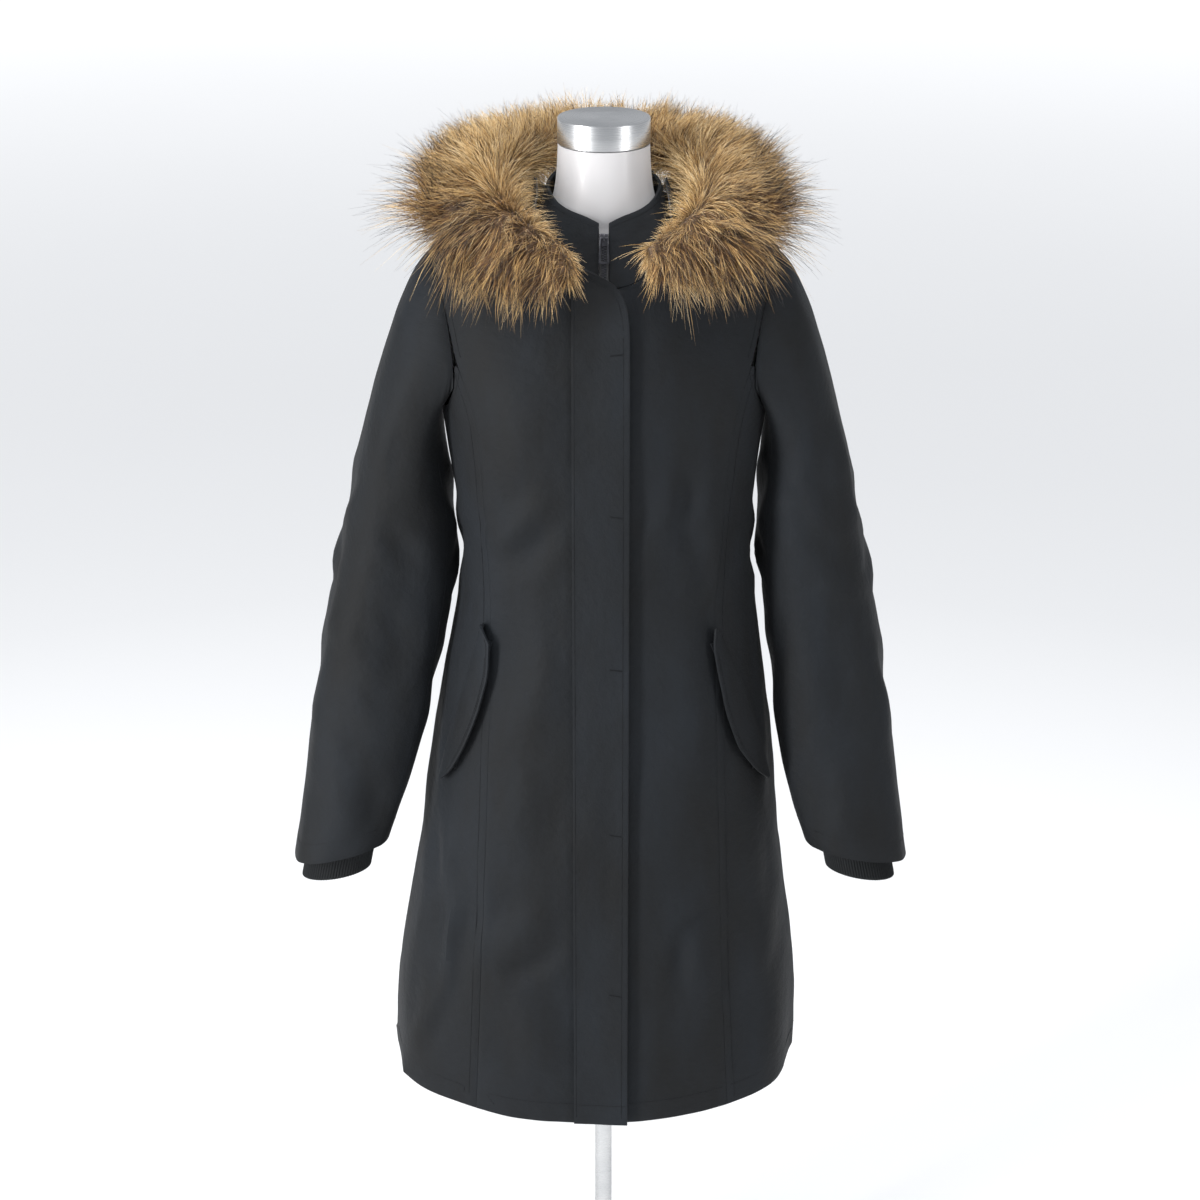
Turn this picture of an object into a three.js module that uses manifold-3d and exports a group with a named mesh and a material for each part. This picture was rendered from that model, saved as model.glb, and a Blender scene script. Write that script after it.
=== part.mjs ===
// A long parka with a fur-trimmed hood, worn by a limbless dress form on a pole and a round base.
// Millimetres, +Z up. The origin is on the floor under the pole, and the coat faces -Y.
// "left" in a table is the viewer's left, -X, which is the wearer's right side.
import * as THREE from "three";
import { mergeVertices } from "three/addons/utils/BufferGeometryUtils.js";
import Module from "manifold-3d";

// Cloth sizes.
const WALL = 3; // shell, light padding and lining together
const SEAM = 0.3; // parting between neighbouring pieces
const HEM_FADE = 170; // height over which the hem's curve dies out upwards
const HEM = 386;

// Body of the coat, as level sections: half widths to each side, depths to front and back.
const BODY = [
  { z: 360, left: 240, right: 214, front: 138, back: 146, round: 2.25 },
  { z: 420, left: 242, right: 219, front: 137, back: 146, round: 2.25 },
  { z: 505, left: 236, right: 218, front: 134, back: 144, round: 2.25 },
  { z: 600, left: 220, right: 206, front: 130, back: 141, round: 2.25 },
  { z: 700, left: 203, right: 193, front: 126, back: 137, round: 2.25 },
  { z: 800, left: 188, right: 187, front: 121, back: 131, round: 2.25 },
  { z: 900, left: 173, right: 175, front: 115, back: 121, round: 2.25 },
  { z: 1000, left: 154, right: 163, front: 110, back: 108, round: 2.25 },
  { z: 1070, left: 155, right: 160, front: 113, back: 105, round: 2.3 },
  { z: 1150, left: 167, right: 167, front: 121, back: 112, round: 2.35 },
  { z: 1220, left: 176, right: 177, front: 123, back: 116, round: 2.4 },
  { z: 1290, left: 181, right: 182, front: 108, back: 114, round: 2.4 },
  { z: 1340, left: 183, right: 184, front: 88, back: 106, round: 2.35 },
  { z: 1362, left: 180, right: 181, front: 79, back: 98, round: 2.3 },
  { z: 1374, left: 148, right: 148, front: 75, back: 92, round: 2.2 },
  { z: 1386, left: 114, right: 114, front: 72, back: 85, round: 2.1 },
  { z: 1396, left: 86, right: 86, front: 69, back: 79, round: 2.05 },
  { z: 1405, left: 66, right: 66, front: 67, back: 74, round: 2 },
];

// Princess seams: distance from the centre front at each height.
const PRINCESS = [
  { z: 360, left: 146, right: 140 },
  { z: 600, left: 134, right: 130 },
  { z: 800, left: 126, right: 124 },
  { z: 1000, left: 121, right: 120 },
  { z: 1150, left: 129, right: 131 },
  { z: 1200, left: 134, right: 137 },
  { z: 1230, left: 142, right: 144 },
  { z: 1254, left: 151.5, right: 152.5 },
];

// Armhole in side view, from the shoulder tip down the front and up the back.
const ARMHOLE = [
  { y: 0, z: 1361 },
  { y: -30, z: 1348 },
  { y: -52, z: 1315 },
  { y: -65, z: 1275 },
  { y: -71, z: 1235 },
  { y: -47, z: 1203 },
  { y: 0, z: 1190 },
  { y: 44, z: 1204 },
  { y: 62, z: 1235 },
  { y: 60, z: 1275 },
  { y: 50, z: 1315 },
  { y: 31, z: 1348 },
];
const SHOULDER_TIP = 1361;
const UNDERARM = 1190;
const PRINCESS_TOP = 1254;

// Neckline: height at each distance from the centre, on the front and on the back.
const NECK_FRONT = [
  { x: 5, z: 1340 },
  { x: 24, z: 1343 },
  { x: 40, z: 1350 },
  { x: 53, z: 1361 },
  { x: 60, z: 1374 },
  { x: 64, z: 1391 },
  { x: 66, z: 1404.4 },
];
const NECK_BACK = [
  { x: 0, z: 1384 },
  { x: 24, z: 1387 },
  { x: 40, z: 1391 },
  { x: 51, z: 1395 },
  { x: 59, z: 1399 },
  { x: 64, z: 1402 },
  { x: 66, z: 1404.4 },
];
const FRONT_EDGE = 5; // half the gap that the zip fills

// Broad soft folds of the body: angle round from the centre front, heights, slant, width and depth.
const FOLDS = [
  { angle: -62, low: 380, high: 760, slant: 4, width: 34, depth: 7 },
  { angle: -84, low: 390, high: 640, slant: -6, width: 30, depth: -6 },
  { angle: -104, low: 400, high: 820, slant: 5, width: 36, depth: 7 },
  { angle: -38, low: 380, high: 560, slant: -3, width: 34, depth: -4 },
  { angle: 58, low: 380, high: 720, slant: -5, width: 36, depth: 5 },
  { angle: 80, low: 400, high: 600, slant: 4, width: 30, depth: -5 },
  { angle: 101, low: 400, high: 800, slant: -6, width: 36, depth: 7 },
  { angle: 128, low: 380, high: 700, slant: 3, width: 38, depth: -6 },
  { angle: 152, low: 380, high: 860, slant: 4, width: 36, depth: 8 },
  { angle: 178, low: 380, high: 660, slant: -2, width: 34, depth: -6 },
  { angle: 204, low: 380, high: 840, slant: -5, width: 38, depth: 8 },
  { angle: 231, low: 380, high: 700, slant: 3, width: 36, depth: -6 },
];

// Sleeves, as level sections below the underarm: inner and outer edge, centre and half depth.
const SLEEVE = {
  left: [
    { z: 1150, inner: 170, outer: 264, y: 12, deep: 78 },
    { z: 1080, inner: 160, outer: 280, y: 14, deep: 74 },
    { z: 1010, inner: 158, outer: 294, y: 10, deep: 70 },
    { z: 940, inner: 170, outer: 309, y: 4, deep: 68 },
    { z: 870, inner: 185, outer: 321, y: -6, deep: 65 },
    { z: 800, inner: 203, outer: 330, y: -18, deep: 61 },
    { z: 740, inner: 222, outer: 339, y: -28, deep: 57 },
    { z: 690, inner: 237, outer: 348, y: -36, deep: 54 },
  ],
  right: [
    { z: 1150, inner: 170, outer: 262, y: 12, deep: 78 },
    { z: 1080, inner: 164, outer: 277, y: 14, deep: 74 },
    { z: 1010, inner: 167, outer: 291, y: 10, deep: 70 },
    { z: 940, inner: 176, outer: 304, y: 4, deep: 68 },
    { z: 870, inner: 182, outer: 314, y: -6, deep: 65 },
    { z: 800, inner: 191, outer: 324, y: -18, deep: 61 },
    { z: 740, inner: 204, outer: 333, y: -28, deep: 57 },
    { z: 690, inner: 220, outer: 341, y: -36, deep: 54 },
  ],
};
const SLEEVE_ROUND = 2.2;
const SLEEVE_HEM_DROP = 11; // how far the outer side of the sleeve hem hangs below its middle

// Rib-knit storm cuffs: they lean outwards and to the front by a share of the way down, slant
// with the hem, and flare to within a gap of the sleeve's inside at the top.
const CUFF = {
  ribs: 30,
  wall: 2.2,
  rib: 1.3,
  wide: 38,
  deep: 27,
  below: 34,
  above: 34,
  leanOut: 0.2,
  leanFront: 0.12,
  slant: 6,
  gap: 1.4,
};

// Collar: the ring of its top edge, which dips to the centre front.
const COLLAR_WALL = 4;
const COLLAR_LOW = 1395; // above this level the hood keeps clear of the collar's foot
const COLLAR_TOP = { side: 60, front: 63, back: 62, frontZ: 1409, sideZ: 1430, backZ: 1446 };
const COLLAR_NOTCH = { deep: 7, half: 9 }; // dip of the top edge at the zip

// Placket: its sewn edge is straight, and its free edge stands off the front by low and lift.
const PLACKET = { seam: -33, low: 1, lift: 4.5, wall: 3, columns: 6 };
// Its free edge at each height, where the top corner rounds off to the neckline.
const PLACKET_TOP = [
  { z: 1301, edge: 26 },
  { z: 1322, edge: 24 },
  { z: 1339, edge: 17 },
  { z: 1354, edge: 3 },
  { z: 1362, edge: -20 },
];

// Pocket flaps on the front, as rows from the top tip to the bottom tip: distance of the sewn
// edge and of the free edge from the centre front.
const FLAP = {
  left: [
    { z: 968, sewn: 128, free: 125 },
    { z: 950, sewn: 133, free: 117 },
    { z: 915, sewn: 143, free: 119 },
    { z: 870, sewn: 155, free: 131 },
    { z: 825, sewn: 167, free: 146 },
    { z: 795, sewn: 174, free: 160 },
    { z: 780, sewn: 176, free: 171 },
  ],
  right: [
    { z: 968, sewn: 119, free: 115 },
    { z: 950, sewn: 127, free: 113 },
    { z: 915, sewn: 141, free: 119 },
    { z: 870, sewn: 156, free: 128 },
    { z: 825, sewn: 168, free: 142 },
    { z: 795, sewn: 176, free: 160 },
    { z: 780, sewn: 179, free: 172 },
  ],
};
const FLAP_WALL = 3;
const FLAP_LIFT = 6; // the free edge stands this far off the front
const WELT = { wide: 13, wall: 1.6 };

// Fur trim: centre line from the left end round the back to the right end, half width along the
// coat, half height off it, and in degrees, how far it leans outwards and where round it the
// hood's edge is sewn on.
const FUR = [
  { x: -34, y: -116, z: 1370, wide: 34, tall: 30, lean: 58, rim: 250 },
  { x: -64, y: -122, z: 1379, wide: 52, tall: 37, lean: 55, rim: 250 },
  { x: -108, y: -100, z: 1393, wide: 62, tall: 40, lean: 42, rim: 243 },
  { x: -138, y: -48, z: 1410, wide: 68, tall: 41, lean: 27, rim: 214 },
  { x: -142, y: 14, z: 1422, wide: 70, tall: 42, lean: 22, rim: 196 },
  { x: -126, y: 82, z: 1430, wide: 68, tall: 43, lean: 18, rim: 256 },
  { x: -78, y: 140, z: 1434, wide: 62, tall: 42, lean: 14, rim: 270 },
  { x: 0, y: 164, z: 1436, wide: 58, tall: 40, lean: 12, rim: 270 },
  { x: 76, y: 140, z: 1434, wide: 62, tall: 42, lean: 14, rim: 270 },
  { x: 122, y: 82, z: 1430, wide: 68, tall: 43, lean: 18, rim: 256 },
  { x: 136, y: 14, z: 1422, wide: 68, tall: 42, lean: 22, rim: 196 },
  { x: 134, y: -48, z: 1410, wide: 66, tall: 41, lean: 27, rim: 214 },
  { x: 110, y: -96, z: 1395, wide: 60, tall: 40, lean: 42, rim: 243 },
  { x: 74, y: -116, z: 1384, wide: 48, tall: 37, lean: 53, rim: 250 },
  { x: 46, y: -111, z: 1380, wide: 32, tall: 29, lean: 57, rim: 250 },
];

const FUR_OFF = 4; // the trim lies at least this far off the coat
const FUR_ENDS = [0.62, 0.88]; // share of the full size at the last sections of either end
const FUR_UNEVEN = { share: 0.03, turns: 82 };
const FUR_ROUND = 0.9; // a little boxier than an ellipse

// Hood: walls, and the bag that hangs between the collar's foot and the trim behind the neck.
const HOOD = {
  shell: 1.4,
  lining: 1,
  apart: 0.8, // between shell and lining
  foot: 4, // the neck seam lies this far out from the collar's foot
  raise: 4.5, // and this far above it
  start: 5, // the cloth leaves both of its edges by this much
  near: 8, // how much further it leaves the neck at the back
  out: 64, // how far the bag reaches out at the back
  down: 175, // how far it hangs down at the back
  low: 1.06, // share of that at the trim's side
  deepens: 2.4, // how fast it deepens towards the back
  backFrom: 28, // the bag starts this far behind the neck's middle
  backOver: 60, // and is whole this much further back
  grow: 5.2, // the outer edge lies this far outside the trim
  footOff: 2, // least way off the coat at the neck seam
  off: 6, // and beyond the first part of the way across
  clearFrom: 0.25,
  rest: 4, // least way off the coat and the collar once it is smoothed
  upward: 60, // cloth that touches the coat moves up as well as out
  nudge: 0.002, // share of its place that it moves at a time
  push: 0.5,
  passes: 9, // rounds of smoothing
};

// Zip.
const ZIP = { half: 4.6, wall: 2.4, sunk: 0.3 };
const SLIDER = {
  wide: 9,
  high: 13,
  deep: 3,
  bridge: 2.4,
  arch: 5,
  leg: 1.6,
  edge: 0.4, // bevel
  nose: 0.55, // share of the width at its lower end
  corner: 1.5,
  room: 1.3, // round the pull's bar, under the bridge
};
const PULL = { wide: 11, long: 27, thick: 1.6, rod: 1.4, frame: 2.2, corner: 1.6 };
const PULL_TOP = { drop: 0.5, step: 0.5, inset: 1, window: 0.6 }; // its top narrows to the bar

// Dress form, as level sections under the coat, and the stand.
const FORM_CLEAR = [
  { z: 800, gap: 16 },
  { z: 900, gap: 14 },
  { z: 1000, gap: 22 },
  { z: 1070, gap: 24 },
  { z: 1150, gap: 19 },
  { z: 1220, gap: 14 },
  { z: 1290, gap: 10 },
  { z: 1340, gap: 7 },
  { z: 1362, gap: 3 },
  { z: 1374, gap: 1.6 },
  { z: 1400, gap: 1.6 },
];
const NAPE = 13; // how much further the form keeps from the coat in front of and behind its neck
const FORM_BOTTOM = 800;
const TORSO_LEVELS = [
  812, 860, 920, 990, 1060, 1120, 1180, 1240, 1290, 1330, 1350, 1362, 1369, 1377, 1385, 1393, 1400,
];
const NECK = [
  { z: 1407, side: 56, front: 52, back: 55 },
  { z: 1424, side: 51.5, front: 51, back: 52 },
  { z: 1445, side: 49, front: 49, back: 49 },
  { z: 1472.6, side: 48, front: 48, back: 48 },
];
const CAP = { radius: 48, low: 1473, top: 1500, bevel: 1.5 };
const POLE = { radius: 9.75, socket: 24, socketHigh: 14 };
const BASE = { radius: 165, high: 9, bevel: 3, boss: 22, bossHigh: 32 };

const V = (x, y, z) => new THREE.Vector3(x, y, z);
const rad = THREE.MathUtils.degToRad;
const lerp = THREE.MathUtils.lerp;
const clamp = THREE.MathUtils.clamp;

// A smooth curve through one named column of a table, over another column.
function column(table, name, over = "z") {
  const rows = [...table].sort((a, b) => a[over] - b[over]);
  const at = (i) => rows[clamp(i, 0, rows.length - 1)];
  const slope = (i) => {
    const run = at(i + 1)[over] - at(i - 1)[over];
    return run ? (at(i + 1)[name] - at(i - 1)[name]) / run : 0;
  };
  return (value) => {
    if (value <= rows[0][over]) return rows[0][name];
    if (value >= rows.at(-1)[over]) return rows.at(-1)[name];
    const i = rows.findIndex((row) => row[over] > value) - 1;
    const span = rows[i + 1][over] - rows[i][over];
    const t = (value - rows[i][over]) / span;
    const a = slope(i) * span;
    const b = slope(i + 1) * span;
    const p = rows[i][name];
    const q = rows[i + 1][name];
    return p + t * (a + t * (3 * (q - p) - 2 * a - b + t * (2 * (p - q) + a + b)));
  };
}

// A closed mesh from vertices and quads or triangles, turned so that it faces out.
function closedMesh(name, points, faces, material) {
  const index = [];
  for (const f of faces) {
    index.push(f[0], f[1], f[2]);
    if (f.length === 4) index.push(f[0], f[2], f[3]);
  }
  let volume = 0;
  for (let i = 0; i < index.length; i += 3) {
    const [a, b, c] = [points[index[i]], points[index[i + 1]], points[index[i + 2]]];
    volume += a.dot(b.clone().cross(c));
  }
  if (volume < 0) index.reverse();
  const geometry = new THREE.BufferGeometry().setFromPoints(points);
  geometry.setIndex(index);
  geometry.computeVertexNormals();
  const mesh = new THREE.Mesh(geometry, material);
  mesh.name = name;
  return mesh;
}

// A wall between two grids of points of the same shape; a ring closes on itself sideways.
function wallMesh(name, outer, inner, material, ring = false) {
  const rows = outer.length;
  const cols = outer[0].length;
  const points = [...outer.flat(), ...inner.flat()];
  const o = (j, i) => j * cols + (i % cols);
  const n = (j, i) => rows * cols + o(j, i);
  const faces = [];
  const lastCol = ring ? cols : cols - 1;
  for (let j = 0; j < rows - 1; j++)
    for (let i = 0; i < lastCol; i++) {
      faces.push([o(j, i), o(j, i + 1), o(j + 1, i + 1), o(j + 1, i)]);
      faces.push([n(j, i), n(j + 1, i), n(j + 1, i + 1), n(j, i + 1)]);
    }
  for (let i = 0; i < lastCol; i++) {
    faces.push([o(0, i), n(0, i), n(0, i + 1), o(0, i + 1)]);
    faces.push([o(rows - 1, i), o(rows - 1, i + 1), n(rows - 1, i + 1), n(rows - 1, i)]);
  }
  if (!ring)
    for (let j = 0; j < rows - 1; j++) {
      faces.push([o(j, 0), o(j + 1, 0), n(j + 1, 0), n(j, 0)]);
      faces.push([o(j, cols - 1), n(j, cols - 1), n(j + 1, cols - 1), o(j + 1, cols - 1)]);
    }
  return closedMesh(name, points, faces, material);
}

// A solid skin over rings of points, closed at both ends by a middle point.
function solidOfRings(name, rings, material) {
  const cols = rings[0].length;
  const points = rings.flat();
  const faces = [];
  for (let j = 0; j < rings.length - 1; j++)
    for (let i = 0; i < cols; i++) {
      const k = (i + 1) % cols;
      faces.push([j * cols + i, j * cols + k, (j + 1) * cols + k, (j + 1) * cols + i]);
    }
  for (const [ring, flip] of [
    [0, true],
    [rings.length - 1, false],
  ]) {
    const middle = new THREE.Vector3();
    rings[ring].forEach((p) => middle.addScaledVector(p, 1 / cols));
    points.push(middle);
    for (let i = 0; i < cols; i++) {
      const pair = [ring * cols + i, ring * cols + ((i + 1) % cols)];
      faces.push([...(flip ? pair.reverse() : pair), points.length - 1]);
    }
  }
  return closedMesh(name, points, faces, material);
}

function latheSolid(name, profile, material, segments = 40) {
  const shape = profile.map(([r, z]) => new THREE.Vector2(r, z));
  const mesh = new THREE.Mesh(new THREE.LatheGeometry(shape, segments), material);
  mesh.name = name;
  mesh.rotation.x = Math.PI / 2;
  return mesh;
}

const signedPower = (value, power) => Math.sign(value) * Math.abs(value) ** power;
const bodyColumn = Object.fromEntries(
  ["left", "right", "front", "back", "round"].map((name) => [name, column(BODY, name)]),
);

// How far the hem lies above its lowest level at this angle: side vents curve up.
const hemLift = (angle) => 26 * Math.sin(angle) ** 2 + 2 * Math.sin(3 * angle + 0.7);
const hemFade = (z) => clamp(1 - (z - HEM) / HEM_FADE, 0, 1) ** 2;

function foldDepth(angle, z) {
  const degrees = THREE.MathUtils.radToDeg(angle);
  let depth = 0;
  for (const fold of FOLDS) {
    const t = (z - fold.low) / (fold.high - fold.low);
    if (t >= 1) continue;
    const wave = Math.cos((clamp(t, 0, 1) * Math.PI) / 2) ** 1.5;
    const middle = fold.angle + fold.slant * t;
    const away = (((degrees - middle + 540) % 360) - 180) * 3.2;
    depth += fold.depth * wave * Math.exp(-((away / fold.width) ** 2));
  }
  return depth;
}

// A point of the coat's outer surface without its folds, by angle round from the centre front.
function plainBody(angle, level) {
  const z = level + hemLift(angle) * hemFade(level);
  const wide = Math.sin(angle) > 0 ? bodyColumn.right(z) : bodyColumn.left(z);
  const deep = Math.cos(angle) > 0 ? bodyColumn.front(z) : bodyColumn.back(z);
  const power = 2 / bodyColumn.round(z);
  return V(
    wide * signedPower(Math.sin(angle), power),
    -deep * signedPower(Math.cos(angle), power),
    z,
  );
}

function bodyNormal(angle, level) {
  const round = plainBody(angle + 0.01, level).sub(plainBody(angle - 0.01, level));
  const rise = plainBody(angle, level + 2).sub(plainBody(angle, level - 2));
  return round.cross(rise).normalize();
}

// A point moved out from the coat's outer surface; a negative value moves it in.
function bodyPoint(angle, level, out = 0) {
  const normal = bodyNormal(angle, level);
  return plainBody(angle, level).addScaledVector(normal, out + foldDepth(angle, level));
}

// The angle whose point lies x from the centre at this level, on the front or on the back.
function angleAtX(x, level, onBack = false) {
  const wide = x > 0 ? bodyColumn.right(level) : bodyColumn.left(level);
  const sine = clamp(Math.abs(x) / wide, 0, 1) ** (bodyColumn.round(level) / 2);
  const angle = Math.sign(x) * Math.asin(sine);
  return onBack ? Math.PI - angle : angle;
}

// The angle on one side whose point lies at this depth.
function angleAtY(y, level, side) {
  const deep = y < 0 ? bodyColumn.front(level) : bodyColumn.back(level);
  const cosine = clamp(Math.abs(y) / deep, 0, 1) ** (bodyColumn.round(level) / 2);
  return side * Math.acos(-Math.sign(y) * cosine);
}

const half = ARMHOLE.length / 2;
const frontArm = column(ARMHOLE.slice(0, half + 1), "y");
const backArm = column([...ARMHOLE.slice(half), ARMHOLE[0]], "y");
const neckFrontX = column(NECK_FRONT, "x");
const neckBackX = column(NECK_BACK, "x");
const sideName = (side) => (side < 0 ? "left" : "right");
const wearer = (side) => (side < 0 ? "right" : "left");

// Edges of the body panels, as angles at a level, on one side.
const edge = {
  front: (z, side) =>
    z <= NECK_FRONT[0].z
      ? angleAtX(side * FRONT_EDGE, z)
      : angleAtX(side * neckFrontX(z), z),
  princess: (z, side) => angleAtX(side * column(PRINCESS, sideName(side))(z), z),
  side: (z, side) => (side * Math.PI) / 2,
  frontArm: (z, side) => angleAtY(frontArm(z), z, side),
  backArm: (z, side) => angleAtY(backArm(z), z, side),
  back: (z, side) =>
    z <= NECK_BACK[0].z ? side * Math.PI : angleAtX(side * neckBackX(z), z, true),
};
const backEdge = (z, side) => {
  const angle = edge.back(z, side);
  return side < 0 && angle > 0 ? angle - 2 * Math.PI : angle;
};
const frontOuter = (z, side) => {
  if (z <= PRINCESS_TOP) return edge.princess(z, side);
  return z < SHOULDER_TIP ? edge.frontArm(z, side) : edge.side(z, side);
};
const sideOuter = (z, side) => (z <= UNDERARM ? edge.side(z, side) : edge.frontArm(z, side));
const backOuter = (z, side) => {
  const open = z > UNDERARM && z < SHOULDER_TIP;
  return open ? edge.backArm(z, side) : edge.side(z, side);
};

const SKIRT_LEVELS = [HEM, 425, 480, 550, 630, 720, 810, 900, 985, 1060, 1120, 1160, UNDERARM];
const CHEST_LEVELS = [1197, 1206, 1230, PRINCESS_TOP];
const ARM_LEVELS = [1288, 1314, 1340, 1343, 1350, SHOULDER_TIP];
const SHOULDER_LEVELS = [1367, 1374, 1384, 1387, 1391, 1395, 1399, 1402, 1404.4];

const allLevels = [...SKIRT_LEVELS, ...CHEST_LEVELS, ...ARM_LEVELS, ...SHOULDER_LEVELS];

// A body panel between two edges, each pulled in by half the seam parting.
function bodyPanel(name, levels, columns, from, to, side, material) {
  const outer = [];
  const inner = [];
  for (const level of levels) {
    const a = from(level, side);
    const b = to(level, side);
    const step = (b - a) / 100;
    const width = bodyPoint(a, level).distanceTo(bodyPoint(a + step, level)) / Math.abs(step);
    const trim = (Math.sign(step) * (SEAM / 2)) / width;
    const outerRow = [];
    const innerRow = [];
    for (let i = 0; i <= columns; i++) {
      const angle = lerp(a + trim, b - trim, i / columns);
      outerRow.push(bodyPoint(angle, level));
      innerRow.push(bodyPoint(angle, level, -WALL));
    }
    outer.push(outerRow);
    inner.push(innerRow);
  }
  return wallMesh(name, outer, inner, material);
}

function bodyPanels(side, cloth) {
  const sideLevels = [...SKIRT_LEVELS, ...CHEST_LEVELS];
  const name = wearer(side);
  return [
    bodyPanel("front_" + name, allLevels, 6, edge.front, frontOuter, side, cloth()),
    bodyPanel("side_front_" + name, sideLevels, 5, edge.princess, sideOuter, side, cloth()),
    bodyPanel("back_" + name, allLevels, 8, backOuter, backEdge, side, cloth()),
  ];
}

// A point of the armhole's edge on the coat, by angle from the shoulder tip over the front.
const armY = (turn) => ringColumn(ARMHOLE, "y", turn);
const armZ = (turn) => ringColumn(ARMHOLE, "z", turn);
function ringColumn(table, name, turn) {
  const count = table.length;
  const place = (((turn / 360) % 1) + 1) * count;
  const i = Math.floor(place);
  const t = place - i;
  const [p, q, r, s] = [-1, 0, 1, 2].map((k) => table[(i + k + count) % count][name]);
  const a = (r - p) / 2;
  const b = (s - q) / 2;
  return q + t * (a + t * (3 * (r - q) - 2 * a - b + t * (2 * (q - r) + a + b)));
}
function armholePoint(turn, side) {
  const z = armZ(turn);
  return bodyPoint(angleAtY(armY(turn), z, side), z);
}

// Where a sleeve starts at the armhole, and the direction in which it leaves.
function sleeveStart(turn, side, out) {
  const top = (1 + Math.cos(rad(turn))) / 2;
  const leave = V(side * lerp(25, 75, top), -22 * Math.sin(rad(turn)), lerp(-45, -16, top));
  leave.normalize();
  const start = armholePoint(turn, side);
  const along = armholePoint(turn + 2, side).sub(armholePoint(turn - 2, side));
  const inward = along.cross(leave).normalize();
  const middle = V(start.x, 0, (SHOULDER_TIP + UNDERARM) / 2);
  if (inward.dot(middle.sub(start)) < 0) inward.negate();
  start.addScaledVector(leave, SEAM).addScaledVector(inward, -out);
  start.x += side * (1 - top) ** 2;
  return { start, leave };
}

// A point of a sleeve's level section, moved out from its surface.
const sleeveColumns = Object.fromEntries(
  ["left", "right"].map((name) => [
    name,
    Object.fromEntries(
      ["inner", "outer", "y", "deep"].map((key) => [key, column(SLEEVE[name], key)]),
    ),
  ]),
);
function sleeveSection(turn, z, side, out = 0) {
  const c = sleeveColumns[sideName(side)];
  const wide = (c.outer(z) - c.inner(z)) / 2 + out;
  const power = 2 / SLEEVE_ROUND;
  const across = signedPower(Math.cos(rad(turn)), power);
  const middle = (c.outer(z) + c.inner(z)) / 2;
  const deep = c.deep(z) + out;
  const drop = SLEEVE_HEM_DROP * clamp((800 - z) / 110, 0, 1) * across;
  const y = c.y(z) - deep * signedPower(Math.sin(rad(turn)), power);
  return V(side * (middle + wide * across), y, z - drop + sleeveFold(turn, z, side));
}
const sleeveFold = (turn, z, side) => 2 * Math.sin(rad(turn * 2 + z * 0.9 + side * 40));

// A sleeve's surface from the armhole (row 0) over the cap to the hem (row 1).
const CAP_ROWS = [0, 0.07, 0.2, 0.42, 0.7];
const ARM_ROWS = [1150, 1100, 1040, 980, 910, 840, 775, 725, 690];
function sleeveRow(turn, row, side, out) {
  if (row >= CAP_ROWS.length)
    return sleeveSection(turn, ARM_ROWS[row - CAP_ROWS.length], side, out);
  const t = CAP_ROWS[row];
  const { start, leave } = sleeveStart(turn, side, out);
  const end = sleeveSection(turn, ARM_ROWS[0], side, out);
  const reach = start.distanceTo(end);
  const arrive = sleeveSection(turn, ARM_ROWS[1], side, out).sub(end);
  leave.multiplyScalar(reach * 0.36);
  arrive.normalize().multiplyScalar(reach * 0.94);
  return start
    .clone()
    .multiplyScalar(2 * t ** 3 - 3 * t ** 2 + 1)
    .addScaledVector(leave, t ** 3 - 2 * t ** 2 + t)
    .addScaledVector(end, 3 * t ** 2 - 2 * t ** 3)
    .addScaledVector(arrive, t ** 3 - t ** 2);
}

// The turns at which the armhole crosses the levels of the body's rows, so that both match.
const TURN_LEVELS = [1350, 1340, 1314, 1288, 1254, 1230, 1206, 1197];
function turnAt(level, from, to) {
  let [low, high] = [from, to];
  for (let k = 0; k < 40; k++) {
    const mid = (low + high) / 2;
    if (armZ(mid) > level === armZ(from) > level) low = mid;
    else high = mid;
  }
  return low;
}
const frontTurns = TURN_LEVELS.map((level) => turnAt(level, 1, 179));
const backTurns = TURN_LEVELS.map((level) => turnAt(level, 359, 181));

function sleevePiece(name, stops, side, material) {
  const outer = [];
  const inner = [];
  for (let row = 0; row < CAP_ROWS.length + ARM_ROWS.length; row++) {
    const from = stops[0];
    const step = sleeveRow(from + 1, row, side, 0).distanceTo(sleeveRow(from, row, side, 0));
    const trim = SEAM / 2 / step;
    const turns = [from + trim, ...stops.slice(1, -1), stops.at(-1) - trim];
    outer.push(turns.map((turn) => sleeveRow(turn, row, side, 0)));
    inner.push(turns.map((turn) => sleeveRow(turn, row, side, -WALL)));
  }
  return wallMesh(name, outer, inner, material);
}

function sleeve(side, cloth) {
  const name = wearer(side);
  const upper = [
    ...backTurns.slice(0, 6).reverse().map((turn) => turn - 360),
    0,
    ...frontTurns.slice(0, 7),
  ];
  const under = [...frontTurns.slice(6), 180, ...backTurns.slice(5).reverse()];
  return [
    sleevePiece("upper_sleeve_" + name, upper, side, cloth()),
    sleevePiece("under_sleeve_" + name, under, side, cloth()),
  ];
}

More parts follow.
